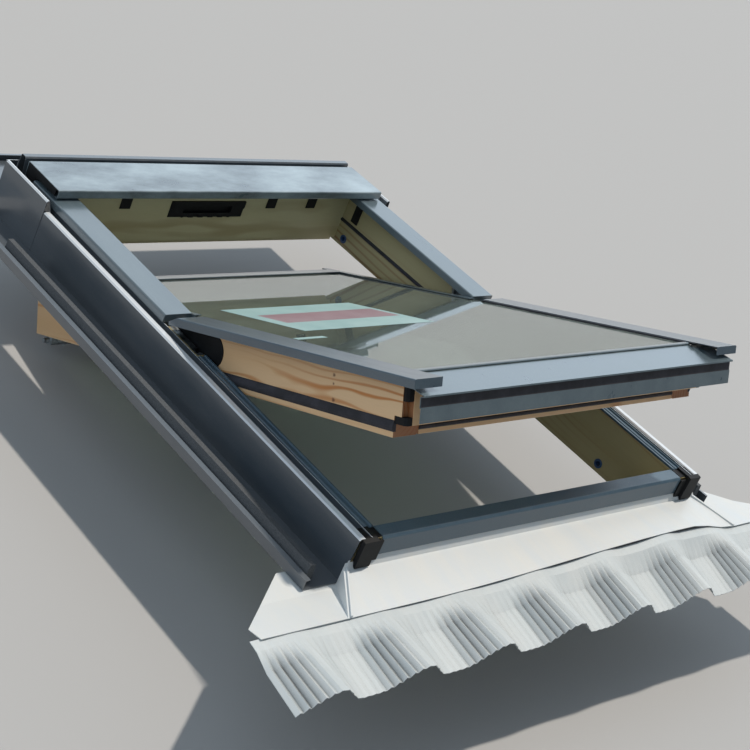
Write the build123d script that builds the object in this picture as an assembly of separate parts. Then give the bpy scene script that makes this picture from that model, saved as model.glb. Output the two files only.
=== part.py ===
from build123d import *
from math import asin, atan2, cos, degrees, hypot, pi, radians, sin, sqrt
import os

# A centre-pivot timber roof window with its outer covers and its full flashing.
# It lies flat: X runs along the eaves, Y up the slope and Z out of the roof.
# The origin is the centre of the four roof brackets, on the plane of the battens.
# The sash is built closed and then turned about its pivot to the rest opening.

# Frame timber
frame_width = 780.0
frame_length = 978.0
frame_wall = 24.0            # thickness of stiles, head and sill
timber_depth = 108.0
lining_rebate = 12.0         # height of the rebate for the room lining
lining_rebate_depth = 10.0
sill_lining = 27.0           # how far the sill's lower part reaches inwards
sill_lining_top = 18.0
sill_bevel = 3.0

# Outer covers of the frame
cover_level = 100.0          # top of the covers above the battens
cover_sheet = 1.2
cover_width = 56.0
cover_overhang = 5.0         # beyond the outer face of the timber
cover_drop = 14.0            # height of a cover's side wall
cover_step = 22.0            # top of the covers down to the top of the timber
cover_bend = 1.6

# Pivot
pivot_above_centre = 54.0
pivot_below_cover = 4.5
rest_opening = 24.3
cover_end_gap = 4.0          # from the pivot to the end of the upper covers
hinge_radius = 70.0          # middle of the curved track
hinge_track_width = 12.0
hinge_track_depth = 10.0
hinge_plate_rim = 6.0
hinge_plate_thickness = 13.0
hinge_shoe_span = 24.0       # degrees
hinge_clearance = 0.3
housing_reach = 108.0        # half length of the sash housing
housing_radius = 28.0
housing_thickness = 13.0
housing_proud = 1.0
let_in_clearance = 0.2

# Sash timber
sash_gap = 4.0               # between sash and frame
sash_rail = 52.0             # width of the stiles
sash_top_rail = 56.0
sash_bottom_rail = 56.0
sash_bottom = 1.5            # inner face of the sash above the battens
sash_lip = 24.0              # upstand beside the glass
top_lip = 14.0               # upstand above the glass
sash_lip_top = 84.0
rebate_floor = 72.0
rail_lip = 23.0              # the bottom rail's overhang over the sill
rail_lip_bottom = 22.0
rail_end_setback = 14.0
stile_nose = 14.0            # how far the stiles reach past the rail's inner part
end_lock_top = 80.0
end_lock_height = 23.0
foot_lock_height = 12.0
sash_gasket_width = 17.0
sash_gasket_level = 18.5
sash_gasket_depth = 5.0
sash_gasket_stop = 50.0      # upper end of the side gaskets below the pivot
gasket_squeeze_gap = 1.0
sash_slope_width = 6.0       # slope from the rebate to the inner face
sash_slope_drop = 8.0
sash_inner_bevel = 5.0

# Glazing
pane = 4.0
pane_gap = 14.0
pane_edge_gap = 2.0
spacer_width = 8.0
spacer_inset = 8.0
tape = 2.0
tape_width = 12.0
bead_height = 2.8
bead_width = 5.0
glass_over_lip = 14.0        # from the rail's front to the glass
top_trim_cover = 34.0        # how far the top trim lies over the glass

# Sash covers
sash_cover_side = 393.0      # outer face of the lower side covers
sash_cover_end = 497.0       # lower end below the frame's centre
sash_cover_start = 6.0       # below the pivot
sash_cover_ramp = 20.0
sash_cover_ramp_drop = 8.0
drip_half = 378.0
drip_front = 498.5
drip_edge = 76.5             # top front edge
drip_nose = 4.5              # how far the top plate overhangs the face
drip_bottom = 36.2
drip_band = 17.5             # from the top edge to the foot of the set-back band
drip_band_depth = 2.0
drip_seal = 1.6              # thickness of the dark strip in the band
upper_trim_top = 99.0
upper_trim_inner = 324.0
bottom_strip_width = 11.0

# Hood and flashing
hood_half = 389.0
hood_front = 412.0
hood_back = 516.0
hood_top = 119.0
hood_lip_bottom = 103.0
hood_clip_inner = 120.0      # the clips' places each side of the middle
hood_clip_outer = 226.0
flashing_sheet = 1.0
rim_reach = 24.0             # rim of the side flashing beyond the timber
rim_level = 83.0
rim_round = 2.0
rim_from_timber = 11.5       # inner edge of the lower pieces' rim
upper_rim_width = 6.5
valley_depth = 12.0          # the valley beside the timber, below the covers' side walls
valley_width = 7.5
upper_rim_level = 104.0
flashing_joint = 403.0
flashing_wall_spread = 4.0
gutter_floor = 6.0
gutter_width = 100.0         # from the timber to the gutter's outer edge
gutter_fold = 22.0
ridge_front = 527.0
ridge_back = 540.0
ridge_top = 120.0
head_plate_start = 552.0
head_plate_end = 700.0
foam_width = 18.0
foam_from_edge = 28.0
foam_height = 30.0
plug_length = 22.0           # how far the corner plugs reach up the slope
plug_front = 5.6
plug_nose = 11.0             # beside the drip cover
plug_gap = 0.4

# Apron and pleated skirt
apron_top_level = 47.0
apron_crease_level = 35.0    # foot of the steep fold against the sill
apron_crease = 7.6           # in front of the timber
apron_upstand = 18.0         # its top below the timber's top
seam_line = 572.0
seam_level = 20.0
seam_bow = 24.0              # the front edge bows up over the tiles' crests
seam_bow_start = -330.0
seam_bow_peak = 320.0
seam_seal_width = 5.0
seam_gap = 1.2
apron_stations = 20
fold_width = 4.0             # raised fold beside each corner of the apron
fold_height = 4.0
fold_inset = 4.0
apron_shoulder = 425.0
apron_flare = 50.0
apron_half = 632.0
wing_level = 3.5
wing_flat = 500.0
wing_head = 448.0
skirt_half = 648.0
skirt_edge = 686.0
skirt_sheet = 1.0
skirt_band = 14.0
skirt_tuck = 4.0
skirt_bend_share = 0.38      # where the sheet turns down into the valleys
skirt_bend_drop = 0.55
roll_pitch = 165.0
roll_height = 26.0
roll_phase = -77.0
roll_fall_share = 0.26
roll_flat_share = 0.20
pleats_per_roll = 13
pleat_depth = 5.2
pleat_depth_flat = 1.3
band_pleat_share = 0.2
seam_wave = 0.2              # share of the roll that reaches the seam where it bows up most
seam_wave_least = 0.25       # and the share of that where it doesn't bow

# Brackets and screws
bracket_y = 400.0
bracket_length = 90.0
bracket_sheet = 2.5
bracket_height = 52.0
bracket_edge_gap = 8.0       # inside the gutter's edge
roof_hole_radius = 3.0
roof_hole_inner = 42.0       # from the timber's face
roof_hole_outer = 72.0
screw_head_radius = 4.6
screw_head = 2.8
frame_screw_pitch = 26.0
frame_screw_level = 30.0

# Barrel bolts, control bar, ventilation flap and lock
bolt_from_pivot = 386.0
bolt_level = -8.0
bolt_radius = 4.5
bolt_fit = 0.05
bolt_travel = 14.0
bolt_tip_gap = 1.0
bolt_length = 76.0
bush_radius = 9.0
bush_bore = 5.0
bush_depth = 13.0
bar_half = 268.0
bar_axis_y = 452.0
bar_axis_z = -5.5
bar_pin = 3.0
bar_width = 34.0
bar_height = 11.0
bar_lug = 5.0
bar_travel = 45.0
flap_half = 262.0
flap_axis_y = 452.0
flap_axis_z = 87.2
flap_pin = 1.5
flap_width = 11.0
latch_half = 55.0
latch_level = 50.0
latch_thickness = 8.0
latch_throw = 7.0
latch_run = 9.0
latch_clearance = 0.3
lock_case_depth = 32.0
strike_half = 90.0
strike_foot_half = 58.0
strike_back_wall = 1.2
strike_tooth = 12.0
strike_low = 33.0
strike_high = 67.0
strike_thickness = 7.5
strike_proud = 2.2
clip_width = 18.0
clip_pitch = 115.0

# Gaskets and guides
frame_gasket_above_sash = 24.5
frame_gasket_width = 8.0
frame_gasket_depth = 6.0
guide_from_end = 36.0
guide_width = 18.0
guide_low = 36.0
guide_let_in = 2.0
sill_cover_sheet = 1.5
sill_cover_lip = 5.0
profile_height = 4.0
profile_ridge = 3.0
profile_sheet = 1.5

# Worked out from the sizes above
frame_half = frame_width / 2
frame_end = frame_length / 2
inner_half = frame_half - frame_wall
inner_end = frame_end - frame_wall
timber_top = cover_level - cover_step
timber_low = timber_top - timber_depth
cover_outer = frame_half + cover_overhang
cover_inner = cover_outer - cover_width
cover_wall_low = cover_level - cover_drop
gutter_edge = frame_half + gutter_width
bracket_reach = gutter_width - bracket_edge_gap
pivot_y = pivot_above_centre
pivot_z = cover_level - pivot_below_cover
sash_half = inner_half - sash_gap
sash_top = inner_end - sash_gap
sash_inner = sash_half - sash_rail
stile_low_end = -(inner_end - sill_lining) + sash_gap
rail_front = stile_low_end - rail_lip
rail_end = sash_half - rail_end_setback
glass_half = sash_half - sash_lip - pane_edge_gap
glass_top_end = sash_top - top_lip - 2 * pane_edge_gap
glass_low_end = rail_front + glass_over_lip
inner_pane_low = rebate_floor + tape
inner_pane_top = inner_pane_low + pane
outer_pane_low = inner_pane_top + pane_gap
glass_top = outer_pane_low + pane
bolt_y = pivot_y + bolt_from_pivot
bolt_angle = degrees(asin((pivot_z - bolt_level) / hypot(bolt_from_pivot, pivot_z - bolt_level)))
clean_opening = 180.0 - 2 * bolt_angle
frame_gasket_level = sash_bottom + frame_gasket_above_sash
frame_gasket_low_end = pivot_y + hinge_radius + hinge_track_width + 12.0
guide_y = inner_end - guide_from_end
sash_cover_low = cover_wall_low
rim_outer = frame_half + rim_reach
cover_start = pivot_y - sash_cover_start
sash_gasket_end = pivot_y - sash_gasket_stop
top_trim_front = glass_top_end - top_trim_cover
sash_cover_inner = sash_cover_side - cover_width
plug_back = -frame_end + plug_length
crease_line = frame_end + apron_crease

os.makedirs("parts", exist_ok=True)
nodes = {}


def add(name, shape, sash=False):
    """Keep a finished piece, turned with the sash where it belongs to it."""
    if sash:
        shape = shape.moved(Location((0, pivot_y, pivot_z)) * Location((0, 0, 0), (-rest_opening, 0, 0))
                            * Location((0, -pivot_y, -pivot_z)))
    nodes[name] = shape


def along_y(outline, y0, y1):
    """A face drawn in X and Z, drawn out along Y."""
    plane = Plane(origin=(0, y0, 0), x_dir=(1, 0, 0), z_dir=(0, -1, 0))
    return extrude(plane * outline, amount=-(y1 - y0))


def along_x(outline, x0, x1):
    """A face drawn in Y and Z, drawn out along X."""
    plane = Plane(origin=(x0, 0, 0), x_dir=(0, 1, 0), z_dir=(1, 0, 0))
    return extrude(plane * outline, amount=x1 - x0)


def along_z(outline, z0, z1):
    """A face drawn in X and Y, drawn out along Z."""
    return extrude(Plane.XY.offset(z0) * outline, amount=z1 - z0)


def polygon(*points):
    return make_face(Polyline(*points, close=True))


def block(x0, x1, y0, y1, z0, z1):
    return Pos((x0 + x1) / 2, (y0 + y1) / 2, (z0 + z1) / 2) * Box(x1 - x0, y1 - y0, z1 - z0)


def disc(radius, x0, x1, y, z):
    """A round bar along X."""
    return Location(((x0 + x1) / 2, y, z), (0, 90, 0)) * Cylinder(radius, abs(x1 - x0))


def folded(points, sheet, bend=0.0):
    """The section of a folded sheet. The points are one face, the sheet lies to their left.

    Bends too small to see are left sharp, with no radius given.
    """
    count = len(points)
    headings = [atan2(points[i + 1][1] - points[i][1], points[i + 1][0] - points[i][0])
                for i in range(count - 1)]
    offset_points = []
    for i, (x, y) in enumerate(points):
        before = headings[max(i - 1, 0)]
        after = headings[min(i, count - 2)]
        half_turn = (after - before) / 2
        across = before + half_turn + pi / 2
        reach = sheet / cos(half_turn)
        offset_points.append((x + reach * cos(across), y + reach * sin(across)))
    if bend == 0.0 or count == 2:
        return polygon(*points, *reversed(offset_points))
    near, far = [], []
    for i in range(1, count - 1):
        left_turn = sin(headings[i] - headings[i - 1]) > 0
        near.append(bend + sheet if left_turn else bend)
        far.append(bend if left_turn else bend + sheet)
    first = FilletPolyline(*points, radius=near)
    second = FilletPolyline(*offset_points, radius=far)
    ends = Line(points[0], offset_points[0]) + Line(points[-1], offset_points[-1])
    return make_face(first + second + ends)


def both_sides(shape):
    return shape, mirror(shape, about=Plane.YZ)


def group(shapes):
    return Compound([solid for shape in shapes for solid in shape.solids()])


def arc_shoe(x0, x1, inner, outer, middle, span):
    """A piece of a ring about the pivot; angles in degrees from +Y towards +Z."""
    start, stop = radians(middle - span / 2), radians(middle + span / 2)
    halfway = radians(middle)

    def at(radius, angle):
        return (pivot_y + radius * cos(angle), pivot_z + radius * sin(angle))

    outline = (ThreePointArc(at(inner, start), at(inner, halfway), at(inner, stop))
               + Line(at(inner, stop), at(outer, stop))
               + ThreePointArc(at(outer, stop), at(outer, halfway), at(outer, start))
               + Line(at(outer, start), at(inner, start)))
    return along_x(make_face(outline), x0, x1)


# Frame timber

def frame_stile():
    """The right stile, with its lining rebate, gasket groove, hinge pocket and bush holes."""
    stile = block(inner_half, frame_half, -frame_end, frame_end, timber_low, timber_top)
    stile -= block(inner_half, inner_half + lining_rebate_depth, -frame_end, frame_end,
                   timber_low, timber_low + lining_rebate)
    stile -= gasket_seat(0)
    plate_radius = hinge_radius + hinge_track_width / 2 + hinge_plate_rim + let_in_clearance
    stile -= disc(plate_radius, inner_half, inner_half + hinge_plate_thickness, pivot_y, pivot_z)
    for y in (bolt_y, pivot_y - bolt_from_pivot):
        stile -= disc(bush_radius + let_in_clearance / 2, inner_half, inner_half + bush_depth, y, bolt_level)
    stile -= guide_block_shape(let_in_clearance)
    return stile


def gasket_seat(proud):
    return block(inner_half - proud, inner_half + frame_gasket_depth, frame_gasket_low_end, inner_end,
                 frame_gasket_level - frame_gasket_width / 2, frame_gasket_level + frame_gasket_width / 2)


def guide_block_shape(grow):
    """A flat plastic block that centres the closing sash."""
    return block(inner_half - sash_gap + gasket_squeeze_gap, inner_half + guide_let_in + grow,
                 guide_y - guide_width / 2 - grow, guide_y + guide_width / 2 + grow,
                 guide_low - grow, timber_top)


right_stile, left_stile = both_sides(frame_stile())
add("frame_right_stile", right_stile)
add("frame_left_stile", left_stile)

guide = guide_block_shape(0)
guide = fillet(guide.edges().filter_by(Axis.Y).group_by(Axis.X)[0], 1.2)
add("sash_guide_blocks", group(both_sides(guide)))

gasket_bulge = along_y(
    polygon((inner_half + frame_gasket_depth, frame_gasket_level - frame_gasket_width / 2),
            (inner_half, frame_gasket_level - frame_gasket_width / 2),
            (inner_half - sash_gap + gasket_squeeze_gap, frame_gasket_level - 1.5),
            (inner_half - sash_gap + gasket_squeeze_gap, frame_gasket_level + 1.5),
            (inner_half, frame_gasket_level + frame_gasket_width / 2),
            (inner_half + frame_gasket_depth, frame_gasket_level + frame_gasket_width / 2)),
    frame_gasket_low_end, inner_end)
add("frame_gaskets", group(both_sides(gasket_bulge)))


def head():
    """The head between the stiles, with the pocket for the strike plate."""
    timber = block(-inner_half, inner_half, inner_end, frame_end, timber_low, timber_top)
    timber -= block(-inner_half, inner_half, inner_end, inner_end + lining_rebate_depth,
                    timber_low, timber_low + lining_rebate)
    timber -= block(-strike_half - let_in_clearance, strike_half + let_in_clearance,
                    inner_end, inner_end + strike_thickness - strike_proud,
                    strike_low - let_in_clearance, strike_high + let_in_clearance)
    return timber


add("frame_head", head())

sill = along_x(polygon((-frame_end, timber_low), (-inner_end + sill_lining, timber_low),
                       (-inner_end + sill_lining, sill_lining_top), (-inner_end, sill_lining_top),
                       (-inner_end, timber_top), (-frame_end + sill_bevel, timber_top),
                       (-frame_end, timber_top - sill_bevel)), -inner_half, inner_half)
sill -= block(-inner_half, inner_half, -inner_end + sill_lining - lining_rebate_depth,
              -inner_end + sill_lining, timber_low, timber_low + lining_rebate)
sill_edge = sill.edges().filter_by(Axis.X).group_by(Axis.Z)[-1].sort_by(Axis.Y)[-1]
add("frame_sill", fillet(sill_edge, 2.0))


# Covers of the frame

def upper_cover():
    """A folded channel over the upper half of the stile, closed at its lower end."""
    section = folded([(cover_inner, cover_wall_low), (cover_inner, cover_level),
                      (cover_outer, cover_level), (cover_outer, cover_wall_low)][::-1],
                     cover_sheet, cover_bend)
    start = pivot_y + cover_end_gap
    cover = along_y(section, start, hood_back - 36.0)
    end_plate = block(cover_inner + cover_sheet, cover_outer - cover_sheet, start, start + cover_sheet,
                      cover_wall_low, cover_level - cover_sheet / 2)
    return cover + end_plate


right_cover, left_cover = both_sides(upper_cover())
add("upper_cover_right", right_cover)
add("upper_cover_left", left_cover)

clip_inner = frame_half - 20.0
clip_outer = frame_half - 3.0
clip_rows = [pivot_y + hinge_radius + 40.0 + i * clip_pitch for i in range(3)]
cover_clips = [both_sides(block(clip_inner, clip_outer, y, y + clip_width, timber_top,
                                cover_level - cover_sheet)) for y in clip_rows]
add("cover_clips", group([clip for pair in cover_clips for clip in pair]))


def lower_profile():
    """The ribbed aluminium profile on the lower half of the stile."""
    x0 = inner_half + 1.5
    x1 = frame_half - 0.5
    base = timber_top
    middle = (x0 + x1) / 2
    floor = base + profile_sheet
    top = base + profile_height
    section = polygon((x0, base), (x1, base), (x1, top), (x1 - profile_ridge, top),
                      (x1 - profile_ridge - 1.0, floor), (middle + profile_ridge, floor),
                      (middle + profile_ridge / 2, top - 0.8), (middle - profile_ridge / 2, top - 0.8),
                      (middle - profile_ridge, floor), (x0 + profile_ridge + 1.0, floor),
                      (x0 + profile_ridge, top), (x0, top))
    return along_y(section, plug_back + plug_gap / 2, pivot_y - hinge_radius - hinge_track_width - 4.0)


right_profile, left_profile = both_sides(lower_profile())
add("lower_profile_right", right_profile)
add("lower_profile_left", left_profile)

sill_cover_front = -frame_end - flashing_sheet - sill_cover_sheet
sill_cover_section = folded(
    [(-inner_end + sill_cover_sheet, timber_top - sill_cover_lip),
     (-inner_end + sill_cover_sheet, timber_top + sill_cover_sheet),
     (-frame_end + 1.0, timber_top + sill_cover_sheet),
     (sill_cover_front, timber_top - 2.0),
     (sill_cover_front, apron_top_level + plug_gap)],
    sill_cover_sheet, 1.2)
sill_cover_half = inner_half - 1.0
add("sill_cover", along_x(sill_cover_section, -sill_cover_half, sill_cover_half))


def apron_share(y):
    """1 at the seam, 0 at the crease in front of the sill."""
    return (crease_line + y) / (crease_line - seam_line)


def apron_top(y):
    """Top of the apron: a steep fold at the sill, then a straight fall to the seam."""
    if y > -crease_line:
        rise = (apron_top_level - apron_crease_level) / (apron_crease - flashing_sheet)
        return apron_crease_level + rise * (y + crease_line)
    return apron_crease_level + apron_share(y) * (seam_level - apron_crease_level)


def corner_plug():
    """A moulded plug that closes the corner beside the sill cover and reaches up over timber and valley."""
    inside = sill_cover_half + 0.3
    outside = rim_outer - 3.0
    shoulder = drip_half + 3.0
    back = -frame_end - 2.5
    face, nose = -frame_end - plug_front, -frame_end - plug_nose
    low, high = timber_top - 2.0, sash_cover_low - 2.0

    def foot(y):
        return apron_top(y) + 2 * plug_gap + 0.05 * seam_bow

    plug = along_x(polygon((back, foot(back)), (back, low), (face, low), (face, foot(face))), inside, shoulder)
    plug += along_x(polygon((back, foot(back)), (back, high), (nose, high - 1.5), (nose, foot(nose)),
                            (-crease_line, foot(-crease_line))), shoulder, outside)
    plug += block(inner_half + 0.5, shoulder, -frame_end + 1.0, plug_back, timber_top, timber_top + 1.6)
    plug += block(shoulder - 0.5, frame_half - 0.3, back, plug_back, timber_top, high - 0.5)
    x0 = frame_half + 0.3 + flashing_sheet
    dip = cover_wall_low - valley_depth + flashing_sheet
    valley_right = frame_half + rim_from_timber - plug_gap - flashing_sheet
    plug += along_y(polygon((x0 + plug_gap, dip + plug_gap),
                            (frame_half + valley_width - plug_gap, dip + plug_gap),
                            (valley_right, rim_level - flashing_sheet - rim_round),
                            (valley_right, rim_level - 0.5), (x0 + plug_gap, rim_level - 0.5)), back, plug_back)
    return plug


add("corner_blocks", group(both_sides(corner_plug())))


# Sash timber

def sash_stile():
    """The right stile of the sash: rebate for the glass, housing pocket and gasket groove."""
    section = polygon((sash_half, sash_bottom), (sash_half, sash_lip_top), (sash_half - sash_lip, sash_lip_top),
                      (sash_half - sash_lip, rebate_floor), (sash_inner + sash_slope_width, rebate_floor),
                      (sash_inner, rebate_floor - sash_slope_drop), (sash_inner, sash_bottom + sash_inner_bevel),
                      (sash_inner + sash_inner_bevel, sash_bottom))
    stile = along_y(section, stile_low_end, sash_top)
    stile += block(sash_inner, sash_half - sash_lip, sash_top - top_lip, sash_top, rebate_floor, sash_lip_top)
    stile += block(rail_end, sash_half, stile_low_end - stile_nose, stile_low_end,
                   rail_lip_bottom + foot_lock_height, sash_lip_top)
    stile -= along_x(housing_outline(let_in_clearance), sash_half - housing_thickness + housing_proud,
                     sash_half)
    groove_low = sash_gasket_level - sash_gasket_width / 2
    stile -= block(sash_half - sash_gasket_depth, sash_half, stile_low_end, sash_gasket_end,
                   groove_low, groove_low + sash_gasket_width)
    return stile


def housing_outline(grow):
    """A long plate with round ends, seen from the side."""
    middle = sash_lip_top - housing_radius
    straight = housing_reach - housing_radius
    radius = housing_radius + grow
    return make_face(
        Line((pivot_y - straight, middle - radius), (pivot_y + straight, middle - radius))
        + ThreePointArc((pivot_y + straight, middle - radius), (pivot_y + straight + radius, middle),
                        (pivot_y + straight, middle + radius))
        + Line((pivot_y + straight, middle + radius), (pivot_y - straight, middle + radius))
        + ThreePointArc((pivot_y - straight, middle + radius), (pivot_y - straight - radius, middle),
                        (pivot_y - straight, middle - radius)))


right_sash, left_sash = both_sides(sash_stile())
add("sash_right_stile", right_sash, sash=True)
add("sash_left_stile", left_sash, sash=True)


def drip_underside(y):
    """Height of the drip cover's underside, which the bottom rail's lip follows."""
    return drip_back_level + (y - drip_back) * drip_slope - cover_sheet * sqrt(1 + drip_slope ** 2)


drip_back = glass_low_end - 1.5
drip_back_level = glass_top - 1.0
drip_slope = (drip_back_level - drip_edge) / (drip_back + drip_front + drip_nose)

rail_back = stile_low_end + sash_bottom_rail
rail_section = polygon((rail_back - sash_inner_bevel, sash_bottom), (rail_back, sash_bottom + sash_inner_bevel),
                       (rail_back, rebate_floor - sash_slope_drop), (rail_back - sash_slope_width, rebate_floor),
                       (stile_low_end, rebate_floor), (stile_low_end, sash_bottom))
lip_section = polygon((stile_low_end, rail_lip_bottom), (stile_low_end, rebate_floor),
                      (glass_low_end - pane_edge_gap, rebate_floor),
                      (glass_low_end - pane_edge_gap, drip_underside(glass_low_end - pane_edge_gap)),
                      (rail_front, drip_underside(rail_front)), (rail_front, rail_lip_bottom))
bottom_rail = along_x(rail_section, -sash_inner, sash_inner) + along_x(lip_section, -rail_end, rail_end)
add("sash_bottom_rail", bottom_rail, sash=True)

top_rail_back = sash_top - sash_top_rail
top_section = polygon((sash_top, sash_bottom), (sash_top, sash_lip_top), (sash_top - top_lip, sash_lip_top),
                      (sash_top - top_lip, rebate_floor), (top_rail_back + sash_slope_width, rebate_floor),
                      (top_rail_back, rebate_floor - sash_slope_drop),
                      (top_rail_back, sash_bottom + sash_inner_bevel),
                      (top_rail_back + sash_inner_bevel, sash_bottom))
top_rail = along_x(top_section, -sash_inner, sash_inner)
case_half = latch_half + 15.0
case_low = latch_level - 13.0
case_high = latch_level + 13.0
case_back = sash_top - lock_case_depth
top_rail -= block(-case_half, case_half, case_back, sash_top, case_low, case_high)
add("sash_top_rail", top_rail, sash=True)


def rail_end_blocks():
    """The black plastic locks at both ends of the bottom rail."""
    front = rail_front + 0.5
    pieces = [block(rail_end, sash_half - 1.0, front, stile_low_end, rail_lip_bottom,
                    rail_lip_bottom + foot_lock_height),
              block(rail_end, sash_half - 1.0, front, stile_low_end - stile_nose,
                    end_lock_top - end_lock_height, end_lock_top)]
    return [chamfer(piece.edges().filter_by(Axis.Z).group_by(Axis.Y)[0].group_by(Axis.X)[-1], 4.0)
            for piece in pieces]


blocks = rail_end_blocks()
add("rail_corner_locks", group(blocks + [mirror(piece, about=Plane.YZ) for piece in blocks]), sash=True)


# Glazing

glass_mid_y = (glass_low_end + glass_top_end) / 2
glass_length = glass_top_end - glass_low_end


def sheet_of_glass(low):
    glass = block(-glass_half, glass_half, glass_low_end, glass_top_end, low, low + pane)
    return chamfer(glass.edges().filter_by(Axis.Z), 1.5)


add("outer_pane", sheet_of_glass(outer_pane_low), sash=True)
add("inner_pane", sheet_of_glass(inner_pane_low), sash=True)


def perimeter(inset, width, low, high):
    """Four straight strips round the glass, none over another."""
    x_out, x_in = glass_half - inset, glass_half - inset - width
    y_low, y_high = glass_low_end + inset, glass_top_end - inset
    return [block(-x_out, -x_in, y_low, y_high, low, high), block(x_in, x_out, y_low, y_high, low, high),
            block(-x_in, x_in, y_low, y_low + width, low, high),
            block(-x_in, x_in, y_high - width, y_high, low, high)]


add("spacer_bars", group(perimeter(spacer_inset, spacer_width, inner_pane_top, outer_pane_low)), sash=True)
add("glazing_tape", group(perimeter(0.5, tape_width, rebate_floor, inner_pane_low)), sash=True)


def bead(x, y0, y1, height):
    return [block(side * x - bead_width / 2, side * x + bead_width / 2, y0, y1, glass_top, glass_top + height)
            for side in (-1, 1)]


side_bead_x = sash_cover_inner - 2.0
trim_bead_x = upper_trim_inner + 4.5
trim_bead_height = upper_trim_top - cover_sheet - glass_top
top_bead = block(-trim_bead_x + bead_width, trim_bead_x - bead_width, top_trim_front + 2.0,
                 top_trim_front + 2.0 + bead_width, glass_top, upper_trim_top - cover_sheet)
beads = (bead(side_bead_x, glass_low_end + bottom_strip_width + 1.0, cover_start - sash_cover_ramp - 2.0,
              bead_height)
         + bead(trim_bead_x, cover_start + 8.0, glass_top_end - 1.0, trim_bead_height) + [top_bead])
add("glazing_beads", group(beads), sash=True)


# Covers of the sash

def lower_cover():
    """A folded channel over the lower half of the stile, closed at its lower end.

    Its upper end slopes down to the pivot, and so clears the frame's cover when the sash is turned over.
    """
    section = folded([(sash_cover_side, sash_cover_low), (sash_cover_side, cover_level),
                      (sash_cover_inner, cover_level)], cover_sheet, cover_bend)
    cover = along_y(section, -sash_cover_end, cover_start)
    ramp_top = cover_start - sash_cover_ramp
    ramp_low = cover_level - sash_cover_ramp_drop
    above = polygon((ramp_top, cover_level), (cover_start + 1.0, ramp_low - 0.4),
                    (cover_start + 1.0, cover_level + 1.0), (ramp_top, cover_level + 1.0))
    cover -= along_x(above, sash_cover_inner - 1.0, sash_cover_side + 1.0)
    ramp = folded([(cover_start, sash_cover_low), (cover_start, ramp_low), (ramp_top, cover_level)], cover_sheet)
    cover += along_x(ramp, sash_cover_inner, sash_cover_side - 0.2)
    end_plate = block(sash_cover_inner, sash_cover_side - 0.3, -sash_cover_end, -sash_cover_end + cover_sheet,
                      sash_cover_low, cover_level - cover_sheet / 2)
    return cover + end_plate


right_cover, left_cover = both_sides(lower_cover())
add("sash_cover_right", right_cover, sash=True)
add("sash_cover_left", left_cover, sash=True)

clip_low = stile_low_end + 14.0
clip_span = pivot_y - housing_reach - 20.0 - clip_width - clip_low
sash_clips = [both_sides(block(sash_half - 13.0, sash_half - 2.0, clip_low + share * clip_span,
                               clip_low + share * clip_span + clip_width, sash_lip_top, cover_level - cover_sheet))
              for share in (0.0, 0.5, 1.0)]
add("sash_cover_clips", group([clip for pair in sash_clips for clip in pair]), sash=True)

trim_flange = sash_lip_top + cover_sheet
trim_wall = glass_half + 0.3 + cover_sheet
side_trim = along_y(folded([(sash_half - 1.0, trim_flange), (trim_wall, trim_flange), (trim_wall, upper_trim_top),
                            (upper_trim_inner, upper_trim_top), (upper_trim_inner, upper_trim_top - 2.0)],
                           cover_sheet), cover_start + 4.0, sash_top - 0.5)
add("upper_trims", group(both_sides(side_trim)), sash=True)

top_wall = glass_top_end + 0.3 + cover_sheet
top_trim = along_x(folded([(sash_top - top_lip + 1.3, trim_flange), (top_wall, trim_flange),
                           (top_wall, upper_trim_top), (top_trim_front, upper_trim_top),
                           (top_trim_front, upper_trim_top - 2.0)], cover_sheet),
                   -upper_trim_inner + 0.5, upper_trim_inner - 0.5)
add("top_trim", top_trim, sash=True)

strip_back = glass_low_end + bottom_strip_width
strip_top = glass_top + 2.6
bottom_strip = polygon((strip_back, glass_top), (strip_back, glass_top + 1.4), (strip_back - 1.5, strip_top),
                       (drip_back + 1.2, strip_top), (drip_back + 0.2, glass_top + 1.4),
                       (drip_back + 0.2, glass_top))
add("glazing_bottom_strip", along_x(bottom_strip, -sash_cover_inner + 0.6, sash_cover_inner - 0.6), sash=True)

drip_tip = -drip_front - drip_nose
band_low = drip_edge - drip_band
band_high = drip_edge - 3.0
band_back = -drip_front + drip_band_depth
drip_section = folded([(drip_back, drip_back_level), (drip_tip, drip_edge), (drip_tip, band_high + 0.4),
                       (band_back, band_high), (band_back, band_low), (-drip_front, band_low),
                       (-drip_front, drip_bottom)], cover_sheet)
add("drip_cover", along_x(drip_section, -drip_half, drip_half), sash=True)

gasket_low = sash_gasket_level - sash_gasket_width / 2
gasket_high = sash_gasket_level + sash_gasket_width / 2
gasket_lip = inner_half - gasket_squeeze_gap
sash_gasket = along_y(polygon((sash_half - sash_gasket_depth, gasket_low), (sash_half, gasket_low),
                              (gasket_lip, gasket_low + 5.0), (gasket_lip, gasket_low + 8.0),
                              (sash_half, gasket_high - 2.0), (sash_half, gasket_high),
                              (sash_half - sash_gasket_depth, gasket_high)), stile_low_end, sash_gasket_end)
rail_gasket_lip = stile_low_end - sash_gap / 2
rail_gasket = along_x(polygon((stile_low_end, sash_bottom + 7.0), (rail_gasket_lip, sash_bottom + 9.0),
                              (rail_gasket_lip, sash_bottom + 12.0),
                              (stile_low_end, sash_bottom + 14.0)), -sash_inner, sash_inner)
band_strip = block(-drip_half + 1.0, drip_half - 1.0, band_back - drip_seal, band_back,
                   band_low, band_high - 1.0)
add("sash_gaskets", group(list(both_sides(sash_gasket)) + [rail_gasket, band_strip]), sash=True)


# Pivot hinges

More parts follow.
